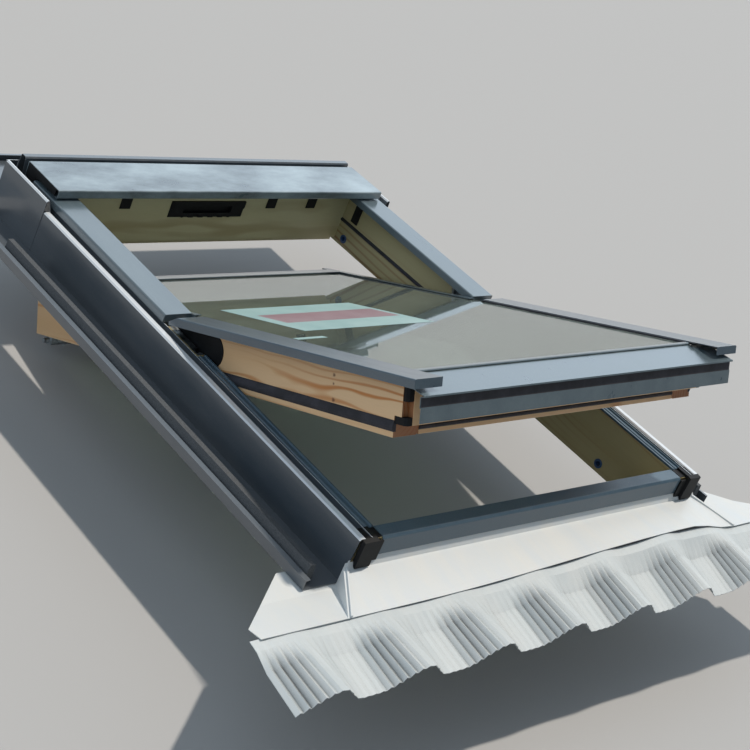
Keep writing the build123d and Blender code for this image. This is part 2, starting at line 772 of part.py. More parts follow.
def hinge_plate():
    """The plate let into the frame's stile, with its curved track open at the top."""
    rim = hinge_radius + hinge_track_width / 2 + hinge_plate_rim
    plate = disc(rim, inner_half, inner_half + hinge_plate_thickness, pivot_y, pivot_z)
    half = hinge_track_width / 2
    deep = inner_half + hinge_track_depth
    plate -= disc(hinge_radius + half, inner_half, deep, pivot_y, pivot_z) - disc(
        hinge_radius - half, inner_half, deep, pivot_y, pivot_z)
    plate &= block(inner_half, inner_half + hinge_plate_thickness, pivot_y - rim, pivot_y + rim,
                   pivot_z - rim, timber_top)
    return plate


def hinge_housing():
    """The sash's half of the hinge: a long plate with the curved shoe that runs in the track."""
    plate = along_x(housing_outline(0), sash_half - housing_thickness + housing_proud, sash_half + housing_proud)
    half = hinge_track_width / 2 - hinge_clearance
    middle = -(180.0 - clean_opening) / 2
    shoe = arc_shoe(sash_half + housing_proud - 0.5, inner_half + hinge_track_depth - hinge_clearance,
                    hinge_radius - half, hinge_radius + half, middle, hinge_shoe_span)
    return plate + shoe


right_plate, left_plate = both_sides(hinge_plate())
add("hinge_plate_right", right_plate)
add("hinge_plate_left", left_plate)
right_housing, left_housing = both_sides(hinge_housing())
add("hinge_housing_right", right_housing, sash=True)
add("hinge_housing_left", left_housing, sash=True)


# Hood

hood_section = folded([(hood_back, timber_top + 12.0), (hood_back, hood_top), (hood_front, hood_top),
                       (hood_front, hood_lip_bottom), (hood_front + 8.0, hood_lip_bottom)], cover_sheet, 1.5)
add("hood", along_x(hood_section, -hood_half, hood_half))

under_hood = hood_top - cover_sheet
inside_hood = hood_back - cover_sheet
hood_end_outline = polygon((hood_front + 10.0, hood_lip_bottom + cover_sheet), (hood_front + 10.0, under_hood),
                           (inside_hood - 1.5, under_hood), (inside_hood, under_hood - 1.5),
                           (inside_hood, timber_top + 14.0), (hood_back - 32.0, timber_top + 14.0),
                           (hood_back - 32.0, hood_lip_bottom))
hood_end = along_x(hood_end_outline, hood_half - 2.5, hood_half - 0.3)
add("hood_ends", group(both_sides(hood_end)))

clip_reach = hood_front + 9.5
hood_clip_outline = polygon((inner_end + 4.0, timber_top), (frame_end - 4.0, timber_top),
                            (frame_end - 4.0, hood_top - cover_sheet), (clip_reach, hood_top - cover_sheet),
                            (clip_reach, cover_level + 0.5), (clip_reach + 3.0, cover_level + 0.5),
                            (clip_reach + 5.0, hood_top - 6.0), (inner_end + 4.0, hood_top - 6.0))
add("hood_clips", group([along_x(hood_clip_outline, x - clip_width / 2, x + clip_width / 2)
                         for x in (-hood_clip_outer, -hood_clip_inner, hood_clip_inner, hood_clip_outer)]))


# Flashing

def side_flashing(rim_inner, rim_top, y0, y1):
    """A folded gutter beside the frame: upstand, valley, rim, wall, floor and turned outer edge."""
    x0 = frame_half + 0.3
    leg_top = cover_wall_low - 2.0
    dip = cover_wall_low - valley_depth
    crown = rim_top - flashing_sheet
    outside = rim_outer - flashing_sheet
    path = [(x0, leg_top), (x0, dip), (frame_half + valley_width, dip), (rim_inner, crown - rim_round),
            (rim_inner + rim_round, crown), (outside - rim_round, crown), (outside, crown - rim_round),
            (outside + flashing_wall_spread, gutter_floor), (gutter_edge, gutter_floor),
            (gutter_edge, gutter_fold), (gutter_edge - 8.0, gutter_fold + 2.0)]
    return along_y(folded(path, flashing_sheet), y0, y1)


flashing_end = -frame_end - 2.0
lower_side = side_flashing(frame_half + rim_from_timber, rim_level, flashing_end, flashing_joint)
right_side, left_side = both_sides(lower_side)
add("side_flashing_right", right_side)
add("side_flashing_left", left_side)

head_corner = ridge_back + 5.0
upper_side = side_flashing(rim_outer - upper_rim_width, upper_rim_level, flashing_joint + 0.3, head_corner)
ridge_half = frame_half - 0.2
closing = along_y(polygon((ridge_half + 0.5, gutter_floor + 14.0), (ridge_half + 0.5, upper_rim_level),
                          (rim_outer, upper_rim_level), (rim_outer + 3.0, gutter_floor + 14.0)),
                  head_corner - flashing_sheet, head_corner)
right_side, left_side = both_sides(upper_side + closing)
add("upper_flashing_right", right_side)
add("upper_flashing_left", left_side)

plate_level = gutter_fold + 4.0
ridge_crown = ridge_top - flashing_sheet
head_front = folded([(frame_end + 0.3, timber_top - 2.0), (frame_end + 0.3, timber_top - 30.0),
                     (ridge_front - 6.0, timber_top - 34.0), (ridge_front, ridge_crown - rim_round),
                     (ridge_front + rim_round, ridge_crown), (ridge_back - rim_round, ridge_crown),
                     (ridge_back, ridge_crown - rim_round), (head_plate_start - 2.0, plate_level),
                     (head_plate_start + 4.0, plate_level)], flashing_sheet)
head_rear = folded([(head_plate_start + 2.0, plate_level), (head_plate_end, plate_level - 8.0),
                    (head_plate_end, plate_level + 4.0), (head_plate_end - 7.0, plate_level + 5.0)],
                   flashing_sheet)
head_flashing = (along_x(head_front, -ridge_half, ridge_half)
                 + along_x(head_rear, -gutter_edge - 10.0, gutter_edge + 10.0))
add("head_flashing", head_flashing)

foam_x = gutter_edge - foam_from_edge
foam_floor = gutter_floor + flashing_sheet
foam = along_y(polygon((foam_x, foam_floor), (foam_x + foam_width, foam_floor),
                       (foam_x + foam_width - 4.0, foam_floor + foam_height),
                       (foam_x + 4.0, foam_floor + foam_height)), flashing_end + 14.0, flashing_joint - 10.0)
add("side_foam", group(both_sides(foam)))


# Apron

def seam_lift(x):
    """How far the apron's front edge is propped up at x; it dies out at the corner folds."""
    end = apron_shoulder + apron_flare
    if x <= seam_bow_start or x >= end:
        return 0.0
    span = seam_bow_peak - seam_bow_start if x < seam_bow_peak else end - seam_bow_peak
    return seam_bow * (0.5 + 0.5 * cos(pi * (x - seam_bow_peak) / span))


def plate_height(y, x=apron_half):
    """Underside of the apron between the crease and the bowed seam."""
    return apron_top(y) - flashing_sheet + apron_share(y) * seam_lift(x)


flare = apron_shoulder + apron_flare
stations = [flare * (2 * i / apron_stations - 1) for i in range(apron_stations + 1)]


def apron_middle():
    """The sheet from the sill to the bowed front edge, with its upstand behind the sill cover."""
    def across(y):
        low = [(x, y, plate_height(y, x)) for x in stations]
        high = [(x, y, z + flashing_sheet) for x, y, z in reversed(low)]
        return make_face(Polyline(*low, *high, close=True))

    plate = loft([across(-seam_line), across(-crease_line)], ruled=True, clean=False)
    steep = folded([(-crease_line, apron_crease_level - flashing_sheet), (-frame_end, apron_top_level - 0.3),
                    (-frame_end, timber_top - apron_upstand)], flashing_sheet)
    return plate + along_x(steep, -flare, flare)


def apron():
    """One folded sheet: the middle behind the sill cover and two lower wings under the gutters."""
    front = -seam_line - 1.0
    back = -frame_end - 3.0
    outline = [(-seam_line, plate_height(-seam_line)), (-seam_line, seam_level), (-crease_line, apron_crease_level),
               (back, apron_top(back))]
    middle = apron_middle()
    middle &= along_z(polygon((-flare, front), (flare, front), (apron_shoulder, back), (frame_half, back),
                              (frame_half, -frame_end + 2.0), (-frame_half, -frame_end + 2.0),
                              (-frame_half, back), (-apron_shoulder, back)), 0, timber_top)
    wing = along_x(folded([(-seam_line, plate_height(-seam_line)), (-wing_flat, wing_level),
                           (-wing_head, wing_level)], flashing_sheet), apron_shoulder - 1.0, apron_half)
    wing &= along_z(polygon((flare - 1.4, front), (apron_half, front), (apron_half, -seam_line + 27.0),
                            (gutter_edge + 15.0, -wing_head), (apron_shoulder - 1.0, -wing_head),
                            (apron_shoulder - 1.0, back)), 0, timber_top)
    web = along_z(polygon((flare - 1.4, front), (flare, front), (apron_shoulder + 0.4, back),
                          (apron_shoulder - 1.0, back)), wing_level, timber_top)
    web &= along_x(polygon(*outline, (back, wing_level), (-wing_flat, wing_level)), 0, apron_half)
    inner, outer = fold_inset + fold_width, fold_inset
    raised = along_z(polygon((flare - inner, front), (flare - outer, front), (apron_shoulder - outer, back),
                             (apron_shoulder - inner, back)), 0, timber_top)
    raised &= along_x(polygon(*[(y, z + fold_height) for y, z in outline[1:]],
                              *[(y, z - flashing_sheet / 2) for y, z in reversed(outline[1:])]), 0, apron_half)
    side = wing + web + raised
    return middle + side + mirror(side, about=Plane.YZ)


add("apron_sheet", apron())


# Pleated skirt

def roll(x):
    """Height of the tiles under the skirt's edge, from 0 in a valley to 1 on a crest."""
    share = ((x - roll_phase) / roll_pitch) % 1.0
    if share < roll_fall_share:
        return 0.5 + 0.5 * cos(pi * share / roll_fall_share)
    rise_start = roll_fall_share + roll_flat_share
    if share < rise_start:
        return 0.0
    return 0.5 - 0.5 * cos(pi * (share - rise_start) / (1.0 - rise_start))


def pleat_at(x):
    """Pleats gather on the long rising side of each roll and are drawn out elsewhere."""
    share = ((x - roll_phase) / roll_pitch) % 1.0
    rise_start = roll_fall_share + roll_flat_share
    gathered = sin(pi * (share - rise_start) / (1.0 - rise_start)) if share > rise_start else 0.0
    return pleat_depth_flat + (pleat_depth - pleat_depth_flat) * gathered


folds = int(2 * pleats_per_roll * 2 * skirt_half / roll_pitch) // 2 * 2
samples = 1200
step = 2 * skirt_half / samples
edge_length = [0.0]
for i in range(samples):
    x = -skirt_half + i * step
    edge_length.append(edge_length[-1] + hypot(step, roll_height * (roll(x + step) - roll(x))))


def skirt_lines():
    """Where each fold lies along the seam and along the free edge, evenly spaced over the sheet."""
    lines = []
    i = 0
    for n in range(folds + 1):
        target = edge_length[-1] * n / folds
        while i < samples and edge_length[i + 1] < target:
            i += 1
        lines.append((-skirt_half + 2 * skirt_half * n / folds, min(-skirt_half + i * step, skirt_half)))
    return lines


lines = skirt_lines()
skirt_level = seam_level - flashing_sheet - seam_gap


def skirt_seam_level(at_seam, at_edge):
    """Top of the skirt under the apron's edge: a soft copy of the rolls, deeper where the edge bows up."""
    lift = seam_lift(at_seam)
    wave = seam_wave * (seam_wave_least + (1.0 - seam_wave_least) * lift / seam_bow)
    return skirt_level + lift - wave * roll_height * (1.0 - roll(at_edge))


def skirt_outline(y, spread, drop, pleat_share):
    """Top line of the pleated sheet across the roof, at one distance down the slope."""
    outline = []
    for n, (at_seam, at_edge) in enumerate(lines):
        seam = skirt_seam_level(at_seam, at_edge)
        edge = skirt_level - (1.0 - roll(at_edge)) * roll_height
        fold = (1 if n % 2 else -1) * pleat_share * pleat_at(at_edge) / 2
        outline.append((at_seam + spread * (at_edge - at_seam), y, seam + drop * (edge - seam) + fold))
    return outline


def skirt_section(y, spread, drop, pleat_share):
    upper = skirt_outline(y, spread, drop, pleat_share)
    lower = [(x, y, z - skirt_sheet) for x, y, z in reversed(upper)]
    return make_face(Polyline(*upper, *lower, close=True))


skirt_run = skirt_edge - seam_line
sections = [skirt_section(-seam_line + skirt_tuck, 0.0, 0.0, 0.0),
            skirt_section(-seam_line - skirt_band, 0.1, 0.1, band_pleat_share),
            skirt_section(-seam_line - skirt_bend_share * skirt_run, 0.5, skirt_bend_drop, 1.0),
            skirt_section(-skirt_edge, 1.0, 1.0, 1.0)]
add("apron_skirt", loft(sections, ruled=True, clean=False))


def seam_seal():
    """The dark strip between the apron's underside and the skirt, just behind the front edge."""
    inside = [x for x in stations if abs(x) < flare - 1.0]
    foot = [(at_seam, skirt_seam_level(at_seam, at_edge) + plug_gap)
            for at_seam, at_edge in lines[::2] if abs(at_seam) < inside[-1]]

    def across(y):
        upper = [(x, y, plate_height(y, x) - plug_gap / 4) for x in inside]
        lower = [(x, y, z) for x, z in reversed(foot)]
        return make_face(Polyline(*upper, *lower, close=True))

    return loft([across(-seam_line + 1.0), across(-seam_line + 1.0 + seam_seal_width)], ruled=True, clean=False)


add("seam_seal", seam_seal())


# Brackets

def bracket():
    """A folded bracket with two roof holes and two pressed ribs."""
    shape = along_y(folded([(frame_half, bracket_height), (frame_half, 0), (frame_half + bracket_reach, 0)],
                           bracket_sheet), bracket_y - bracket_length / 2, bracket_y + bracket_length / 2)
    for reach in (roof_hole_inner, roof_hole_outer):
        hole = Cylinder(roof_hole_radius, 2 * bracket_sheet)
        shape -= Pos(frame_half + reach, bracket_y, bracket_sheet / 2) * hole
    rib = polygon((frame_half + 1.0, 1.0), (frame_half + 14.0, 1.0), (frame_half + 1.0, 16.0))
    for side in (-1, 1):
        y = bracket_y + side * (bracket_length / 2 - 8.0)
        shape += along_y(rib, y - 1.5, y + 1.5)
    return shape


def frame_screw(y):
    """The hexagon head of a screw that holds the bracket to the stile."""
    face = frame_half + bracket_sheet
    plane = Plane(origin=(face, y, frame_screw_level), x_dir=(0, 1, 0), z_dir=(1, 0, 0))
    return extrude(plane * RegularPolygon(screw_head_radius, 6), amount=screw_head)


corner = bracket()
fixings = [frame_screw(bracket_y + side * frame_screw_pitch) for side in (-1, 1)]


def four_corners(shapes):
    right = shapes + [mirror(shape, about=Plane.XZ) for shape in shapes]
    return right + [mirror(shape, about=Plane.YZ) for shape in right]


add("mounting_brackets", group(four_corners([corner])))
add("bracket_screws", group(four_corners(fixings)))


# Barrel bolts and their bushes

def bush(y):
    ring = disc(bush_radius, inner_half - 0.8, inner_half + bush_depth, y, bolt_level)
    return ring - disc(bush_bore, inner_half - 0.8, inner_half + bush_depth, y, bolt_level)


bushes = [bush(y) for y in (bolt_y, pivot_y - bolt_from_pivot)]
add("bolt_bushes", group(bushes + [mirror(ring, about=Plane.YZ) for ring in bushes]))

bolt_tip = sash_half - bolt_tip_gap
housing_in = sash_half - 62.0
housing_out = sash_half - 12.0
knob_x = (housing_in + housing_out) / 2 - bolt_travel / 2
knob_radius = 2.0
knob_length = 13.0


def bolt_housing():
    """A surface-mounted guide under the sash, slotted for the bolt's knob."""
    body = block(housing_in, housing_out, bolt_y - 10.0, bolt_y + 10.0, bolt_level - 8.0, sash_bottom)
    body = chamfer(body.edges().filter_by(Axis.X).group_by(Axis.Z)[0], 4.0)
    body -= disc(bolt_radius + bolt_fit, housing_in, housing_out, bolt_y, bolt_level)
    return body - block(knob_x - knob_radius - 0.4, knob_x + bolt_travel + knob_radius + 0.4,
                        bolt_y - knob_radius - 0.4, bolt_y + knob_radius + 0.4, bolt_level - 8.0, bolt_level)


def barrel_bolt():
    rod = disc(bolt_radius, bolt_tip - bolt_length, bolt_tip, bolt_y, bolt_level)
    knob = extrude(Plane((knob_x, bolt_y, bolt_level)) * RegularPolygon(knob_radius, 8), amount=-knob_length)
    return rod + knob


add("bolt_housings", group(both_sides(bolt_housing())), sash=True)
right_bolt, left_bolt = both_sides(barrel_bolt())
add("barrel_bolt_right", right_bolt, sash=True)
add("barrel_bolt_left", left_bolt, sash=True)


# Control bar and ventilation flap

bar_face = along_x(polygon((bar_axis_y - bar_width, bar_axis_z - bar_height / 2),
                           (bar_axis_y + 3.5, bar_axis_z - bar_height / 2),
                           (bar_axis_y + 3.5, bar_axis_z + bar_height / 2 - 1.5),
                           (bar_axis_y - bar_width, bar_axis_z + bar_height / 2 - 1.5)), -bar_half, bar_half)
bar_face = chamfer(bar_face.edges().filter_by(Axis.X), 2.5)
bar = (bar_face + disc(bar_pin, -bar_half - bar_lug - 4.0, -bar_half + 1.0, bar_axis_y, bar_axis_z)
       + disc(bar_pin, bar_half - 1.0, bar_half + bar_lug + 4.0, bar_axis_y, bar_axis_z))
add("control_bar", bar, sash=True)

lug = along_x(polygon((bar_axis_y - 7.0, sash_bottom), (bar_axis_y - 7.0, bar_axis_z),
                      (bar_axis_y - 3.0, bar_axis_z - 6.0), (bar_axis_y + 3.0, bar_axis_z - 6.0),
                      (bar_axis_y + 7.0, bar_axis_z), (bar_axis_y + 7.0, sash_bottom)),
              bar_half + 2.0, bar_half + 2.0 + bar_lug)
lug -= disc(bar_pin + bolt_fit, bar_half, bar_half + 3.0 + bar_lug, bar_axis_y, bar_axis_z)
add("bar_brackets", group(both_sides(lug)), sash=True)

knuckle = 2.2
flap = (block(-flap_half, flap_half, flap_axis_y - knuckle, flap_axis_y + knuckle,
              flap_axis_z - knuckle, flap_axis_z + knuckle)
        + block(-flap_half, flap_half, flap_axis_y, flap_axis_y + flap_width - 2.5,
                flap_axis_z - 1.0, flap_axis_z + 0.8)
        + disc(flap_pin, -flap_half - 5.0, flap_half + 5.0, flap_axis_y, flap_axis_z))
add("vent_flap", flap, sash=True)
flap_lug = block(flap_half + 1.0, flap_half + 5.0, flap_axis_y - 2.8, flap_axis_y + 2.8,
                 sash_lip_top, flap_axis_z + 3.0)
flap_lug -= disc(flap_pin + bolt_fit, flap_half, flap_half + 6.0, flap_axis_y, flap_axis_z)
add("flap_lugs", group(both_sides(flap_lug)), sash=True)


# Lock

case = block(-case_half + let_in_clearance, case_half - let_in_clearance, case_back + let_in_clearance, sash_top,
             case_low + let_in_clearance, case_high - let_in_clearance)
latch_half_height = latch_thickness / 2
case -= block(-latch_half - latch_clearance, latch_half + latch_clearance, case_back + 1.7, sash_top,
              latch_level - latch_half_height - latch_clearance, latch_level + latch_half_height + latch_clearance)
add("lock_case", case, sash=True)

latch = block(-latch_half, latch_half, case_back + 2.0 + latch_run, sash_top + latch_throw,
              latch_level - latch_half_height, latch_level + latch_half_height)
latch -= block(-latch_half / 3, latch_half / 3, sash_top - 1.0, sash_top + latch_throw,
               latch_level - latch_half_height, latch_level + latch_half_height)
latch = chamfer(latch.edges().filter_by(Axis.X).group_by(Axis.Y)[-1], 2.0)
add("latch", latch, sash=True)

strike_face = inner_end - strike_proud
strike_back = strike_face + strike_thickness
strike = block(-strike_half, strike_half, strike_face, strike_back, strike_low, strike_high)
strike -= block(-latch_half - 3.0, latch_half + 3.0, strike_face, strike_back - strike_back_wall,
                latch_level - 7.0, latch_level + 7.0)
for side in (-1, 1):
    corner_cut = Plane(origin=(0, strike_face, 0), x_dir=(1, 0, 0), z_dir=(0, -1, 0)) * polygon(
        (side * strike_foot_half, strike_low), (side * strike_half, strike_low),
        (side * strike_half, strike_low + 20.0), (side * (strike_half - 8.0), strike_low + 14.0))
    strike -= extrude(corner_cut, amount=-strike_proud)
for i in range(5):
    x = (i - 2.25) * 2 * strike_tooth
    strike -= block(x, x + strike_tooth, strike_face, strike_face + strike_proud,
                    strike_low, strike_low + (6.0 if i % 2 else 4.0))
add("strike_plate", strike)

for name, shape in nodes.items():
    export_step(shape, f"parts/{name}.step")
print(f"{len(nodes)} nodes, turned over at {clean_opening:.2f} degrees, bolt angle {bolt_angle:.2f}")
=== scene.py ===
import math

import bmesh
import bpy
from mathutils import Matrix, Vector


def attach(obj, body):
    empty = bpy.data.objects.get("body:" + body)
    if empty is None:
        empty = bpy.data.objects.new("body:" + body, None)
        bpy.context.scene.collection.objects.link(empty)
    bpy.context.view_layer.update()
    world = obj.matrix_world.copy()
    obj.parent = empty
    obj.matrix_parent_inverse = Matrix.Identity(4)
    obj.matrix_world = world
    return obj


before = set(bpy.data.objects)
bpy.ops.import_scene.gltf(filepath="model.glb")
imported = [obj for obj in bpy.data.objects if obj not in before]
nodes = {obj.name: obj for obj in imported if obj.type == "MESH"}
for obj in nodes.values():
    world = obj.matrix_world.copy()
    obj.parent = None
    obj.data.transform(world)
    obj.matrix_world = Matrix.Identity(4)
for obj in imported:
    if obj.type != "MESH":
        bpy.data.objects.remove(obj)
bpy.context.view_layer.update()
print("frame loaded with", len(nodes), "nodes")

# The sash stands open by this much about its hinge line, so its patterns are turned with it.
sash = {"tilt": math.radians(24.3), "hinge": Vector((0, 0.054, 0.0955))}


def linear(hexText):
    parts = [int(hexText[i:i + 2], 16) / 255 for i in (1, 3, 5)]
    bent = [c / 12.92 if c <= 0.04045 else ((c + 0.055) / 1.055) ** 2.4 for c in parts]
    return tuple(bent) + (1.0,)


def addNode(tree, kind, values=None, links=None, stops=None, **settings):
    node = tree.nodes.new("ShaderNode" + kind)
    for key, value in settings.items():
        setattr(node, key, value)
    for key, value in (values or {}).items():
        node.inputs[key].default_value = value
    for key, source in (links or {}).items():
        tree.links.new(source, node.inputs[key])
    if stops:
        ramp = node.color_ramp.elements
        ramp.remove(ramp[1])
        for n, (place, colour) in enumerate(stops):
            stop = ramp[0] if n == 0 else ramp.new(place)
            stop.position = place
            stop.color = linear(colour) if isinstance(colour, str) else (colour, colour, colour, 1)
    return node


def startMaterial(name, values):
    material = bpy.data.materials.new(name)
    material.use_nodes = True
    tree = material.node_tree
    shader = tree.nodes["Principled BSDF"]
    for key, value in values.items():
        shader.inputs[key].default_value = value
    return material, tree, shader


def objectPoint(tree, turned=False, turn=(0, 0, 0), shift=(0, 0, 0), source="Object"):
    point = addNode(tree, "TexCoord").outputs[source]
    if turned:
        point = addNode(tree, "Mapping", {"Rotation": (sash["tilt"], 0, 0)},
                        {"Vector": point}).outputs[0]
    return addNode(tree, "Mapping", {"Rotation": turn, "Location": shift},
                   {"Vector": point}).outputs[0]


def paint(material, *names):
    for name in names:
        slots = nodes[name].data.materials
        slots.clear()
        slots.append(material)


# Values shared by every board. A stretch is given across, along and through the board, an edge is
# the span over which one tone gives way to the next, and relief is a strength and a depth in
# metres.
grain = {"slow": (1, 0.09, 1), "swayScale": 16.0, "patchScale": 14.0, "patchEdge": (0.38, 0.66),
         "lateEdge": (0.3, 0.95), "fibreScale": 1500.0, "fibreStretch": (1, 0.02, 1),
         "fibreEdge": (0.32, 0.6), "fibreDark": 0.8, "driftScale": 9.0, "driftEdge": (0.3, 0.7),
         "driftShare": 0.6, "endEdge": (0.7, 0.9), "endShare": 0.8, "knotScale": 420.0,
         "knotRagged": 0.9, "knotShare": 0.85, "satin": (0.4, 0.56), "relief": (0.25, 0.0003)}


# Pine, planed and finished with a satin water-based varnish: tan early wood, and late wood as a few
# orange lines that wander and fade along the board, broad where a ring lies flat under the face and
# thin beside it.
def varnishedPine(name, look, along="y", turned=False):
    material, tree, shader = startMaterial(name, {"IOR": 1.5, "Coat Weight": 0.2,
                                                  "Coat Roughness": 0.35})
    turn = (0, 0, 0) if along == "y" else (0, 0, math.radians(90))
    board = objectPoint(tree, turned, turn, look["heart"])
    slow = addNode(tree, "Mapping", {"Scale": grain["slow"]}, {"Vector": board}).outputs[0]
    # The trunk's growth bends every ring, by up to a ring's width within a hand's breadth.
    bent = addNode(tree, "Mapping", {"Scale": (1, look["wander"], 1)},
                   {"Vector": board}).outputs[0]
    sway = addNode(tree, "TexNoise", {"Scale": grain["swayScale"], "Detail": 2.0, "Roughness": 0.5},
                   {"Vector": bent})
    swayed = addNode(tree, "MixRGB", {"Fac": look["sway"]},
                     {"Color1": board, "Color2": sway.outputs["Color"]}, blend_type="ADD")
    # Rings lie round the trunk's heart, which runs along the board.
    across = addNode(tree, "VectorMath", {1: (1, 0, 1)}, {0: swayed.outputs["Color"]},
                     operation="MULTIPLY").outputs["Vector"]
    radius = addNode(tree, "VectorMath", None, {0: across}, operation="LENGTH").outputs["Value"]
    phase = addNode(tree, "Math", {1: 2 * math.pi * 1000.0 / look["ringMm"]}, {0: radius},
                    operation="MULTIPLY").outputs[0]
    rings = addNode(tree, "Math", None, {0: phase}, operation="SINE").outputs[0]
    patches = addNode(tree, "TexNoise", {"Scale": grain["patchScale"], "Detail": 1.0},
                      {"Vector": slow})
    strength = addNode(tree, "MapRange", {"From Min": grain["patchEdge"][0],
                                          "From Max": grain["patchEdge"][1]},
                       {"Value": patches.outputs["Fac"]}).outputs[0]
    lateWood = addNode(tree, "ValToRGB", None, {"Fac": rings},
                       [(grain["lateEdge"][0], 0.0), (grain["lateEdge"][1], 1.0)])
    share = addNode(tree, "Math", None, {0: lateWood.outputs["Color"], 1: strength},
                    operation="MULTIPLY").outputs[0]
    wood = addNode(tree, "MixRGB", {"Color1": linear(look["early"]),
                                    "Color2": linear(look["late"])}, {"Fac": share})
    # Fibres are about 0.05 mm wide and are drawn ten times as coarse, so that they show.
    fine = addNode(tree, "Mapping", {"Scale": grain["fibreStretch"]}, {"Vector": board}).outputs[0]
    fibre = addNode(tree, "TexNoise", {"Scale": grain["fibreScale"], "Detail": 4.0,
                                       "Roughness": 0.6}, {"Vector": fine})
    fibreShade = addNode(tree, "ValToRGB", None, {"Fac": fibre.outputs["Fac"]},
                         [(grain["fibreEdge"][0], grain["fibreDark"]),
                          (grain["fibreEdge"][1], 1.0)])
    grained = addNode(tree, "MixRGB", {"Fac": look["fibre"]},
                      {"Color1": wood.outputs["Color"], "Color2": fibreShade.outputs["Color"]},
                      blend_type="MULTIPLY")
    # Tone drifts over a hand's width, as boards do.
    drift = addNode(tree, "TexNoise", {"Scale": grain["driftScale"], "Detail": 2.0},
                    {"Vector": slow})
    driftShade = addNode(tree, "ValToRGB", None, {"Fac": drift.outputs["Fac"]},
                         [(grain["driftEdge"][0], look["shadow"]),
                          (grain["driftEdge"][1], "#ffffff")])
    toned = addNode(tree, "MixRGB", {"Fac": grain["driftShare"]},
                    {"Color1": grained.outputs["Color"], "Color2": driftShade.outputs["Color"]},
                    blend_type="MULTIPLY")
    # End grain drinks more varnish than the faces do, and dries darker.
    facing = objectPoint(tree, turned, turn, source="Normal")
    lengthwise = addNode(tree, "SeparateXYZ", None, {"Vector": facing}).outputs["Y"]
    ends = addNode(tree, "Math", None, {0: lengthwise}, operation="ABSOLUTE").outputs[0]
    soaked = addNode(tree, "MapRange", {"From Min": grain["endEdge"][0],
                                        "From Max": grain["endEdge"][1],
                                        "To Max": grain["endShare"]}, {"Value": ends}).outputs[0]
    colour = addNode(tree, "MixRGB", {"Color2": linear(look["end"])},
                     {"Fac": soaked, "Color1": toned.outputs["Color"]}).outputs["Color"]
    for knot in look.get("knots", ()):
        place = addNode(tree, "Mapping", {"Location": tuple(-c for c in knot["at"])},
                        {"Vector": addNode(tree, "TexCoord").outputs["Object"]}).outputs[0]
        reach = addNode(tree, "VectorMath", None, {0: place}, operation="LENGTH").outputs["Value"]
        ragged = addNode(tree, "TexNoise", {"Scale": grain["knotScale"], "Detail": 2.0},
                         {"Vector": place}).outputs["Fac"]
        edge = addNode(tree, "Math", {1: knot["radius"] * grain["knotRagged"]}, {0: ragged},
                       operation="MULTIPLY").outputs[0]
        inner = addNode(tree, "Math", None, {0: reach, 1: edge}, operation="SUBTRACT").outputs[0]
        dark = addNode(tree, "MapRange", {"From Min": knot["radius"], "From Max": 0.0,
                                          "To Max": grain["knotShare"]},
                       {"Value": inner}).outputs[0]
        colour = addNode(tree, "MixRGB", {"Color2": linear(look["knot"])},
                         {"Fac": dark, "Color1": colour}).outputs["Color"]
    tree.links.new(colour, shader.inputs["Base Color"])
    sheen = addNode(tree, "MapRange", {"To Min": grain["satin"][0], "To Max": grain["satin"][1]},
                    {"Value": fibre.outputs["Fac"]})
    tree.links.new(sheen.outputs[0], shader.inputs["Roughness"])
    relief = addNode(tree, "Bump", {"Strength": grain["relief"][0], "Distance": grain["relief"][1]},
                     {"Height": fibre.outputs["Fac"]})
    tree.links.new(relief.outputs[0], shader.inputs["Normal"])
    return material


framePine = {"early": "#b3a983", "late": "#94744c", "shadow": "#dccfa6", "end": "#6f5836",
             "ringMm": 14.0, "wander": 0.2, "sway": 0.03, "fibre": 0.35,
             "heart": (-0.375, 0.1, 0.05)}
# Painted light: the head and sill use a lighter copy of the stile pine, standing in for more light
# on them.
litCrossPine = dict(framePine, early="#d2c99f", late="#b5a478")
sashPine = {"early": "#dcb98f", "late": "#bb7838", "shadow": "#ecd9bb", "end": "#84481c",
            "ringMm": 8.0, "wander": 0.28, "sway": 0.024, "fibre": 0.3,
            "heart": (0.372, 0.2, -0.066)}
sashSidePine = dict(sashPine, knot="#5a2c10",
                    knots=[{"at": (-0.3622, -0.2851, 0.2190), "radius": 0.0026},
                           {"at": (-0.3622, -0.2903, 0.2072), "radius": 0.0018},
                           {"at": (-0.3622, -0.3020, 0.1862), "radius": 0.0030}])
print("pine ready")

# Values shared by every coated sheet. Orange peel waves are about 1.5 mm across, and the sheet
# itself is out of flat over some 80 mm.
lacquer = {"coatRough": 0.18, "dustStretch": (1, 0.22, 1), "dustScale": 26.0,
           "dustEdge": (0.35, 0.68), "speckScale": 700.0, "speckEdge": (0.6, 0.74),
           "speckShare": 0.12, "foldEdge": (0.58, 0.95), "flatEdge": (0.3, 0.8),
           "dullEdge": (0.3, 0.7), "dulling": 0.14, "peelScale": 640.0, "warpScale": 12.0,
           "warpShare": 0.9, "relief": (0.2, 0.001)}


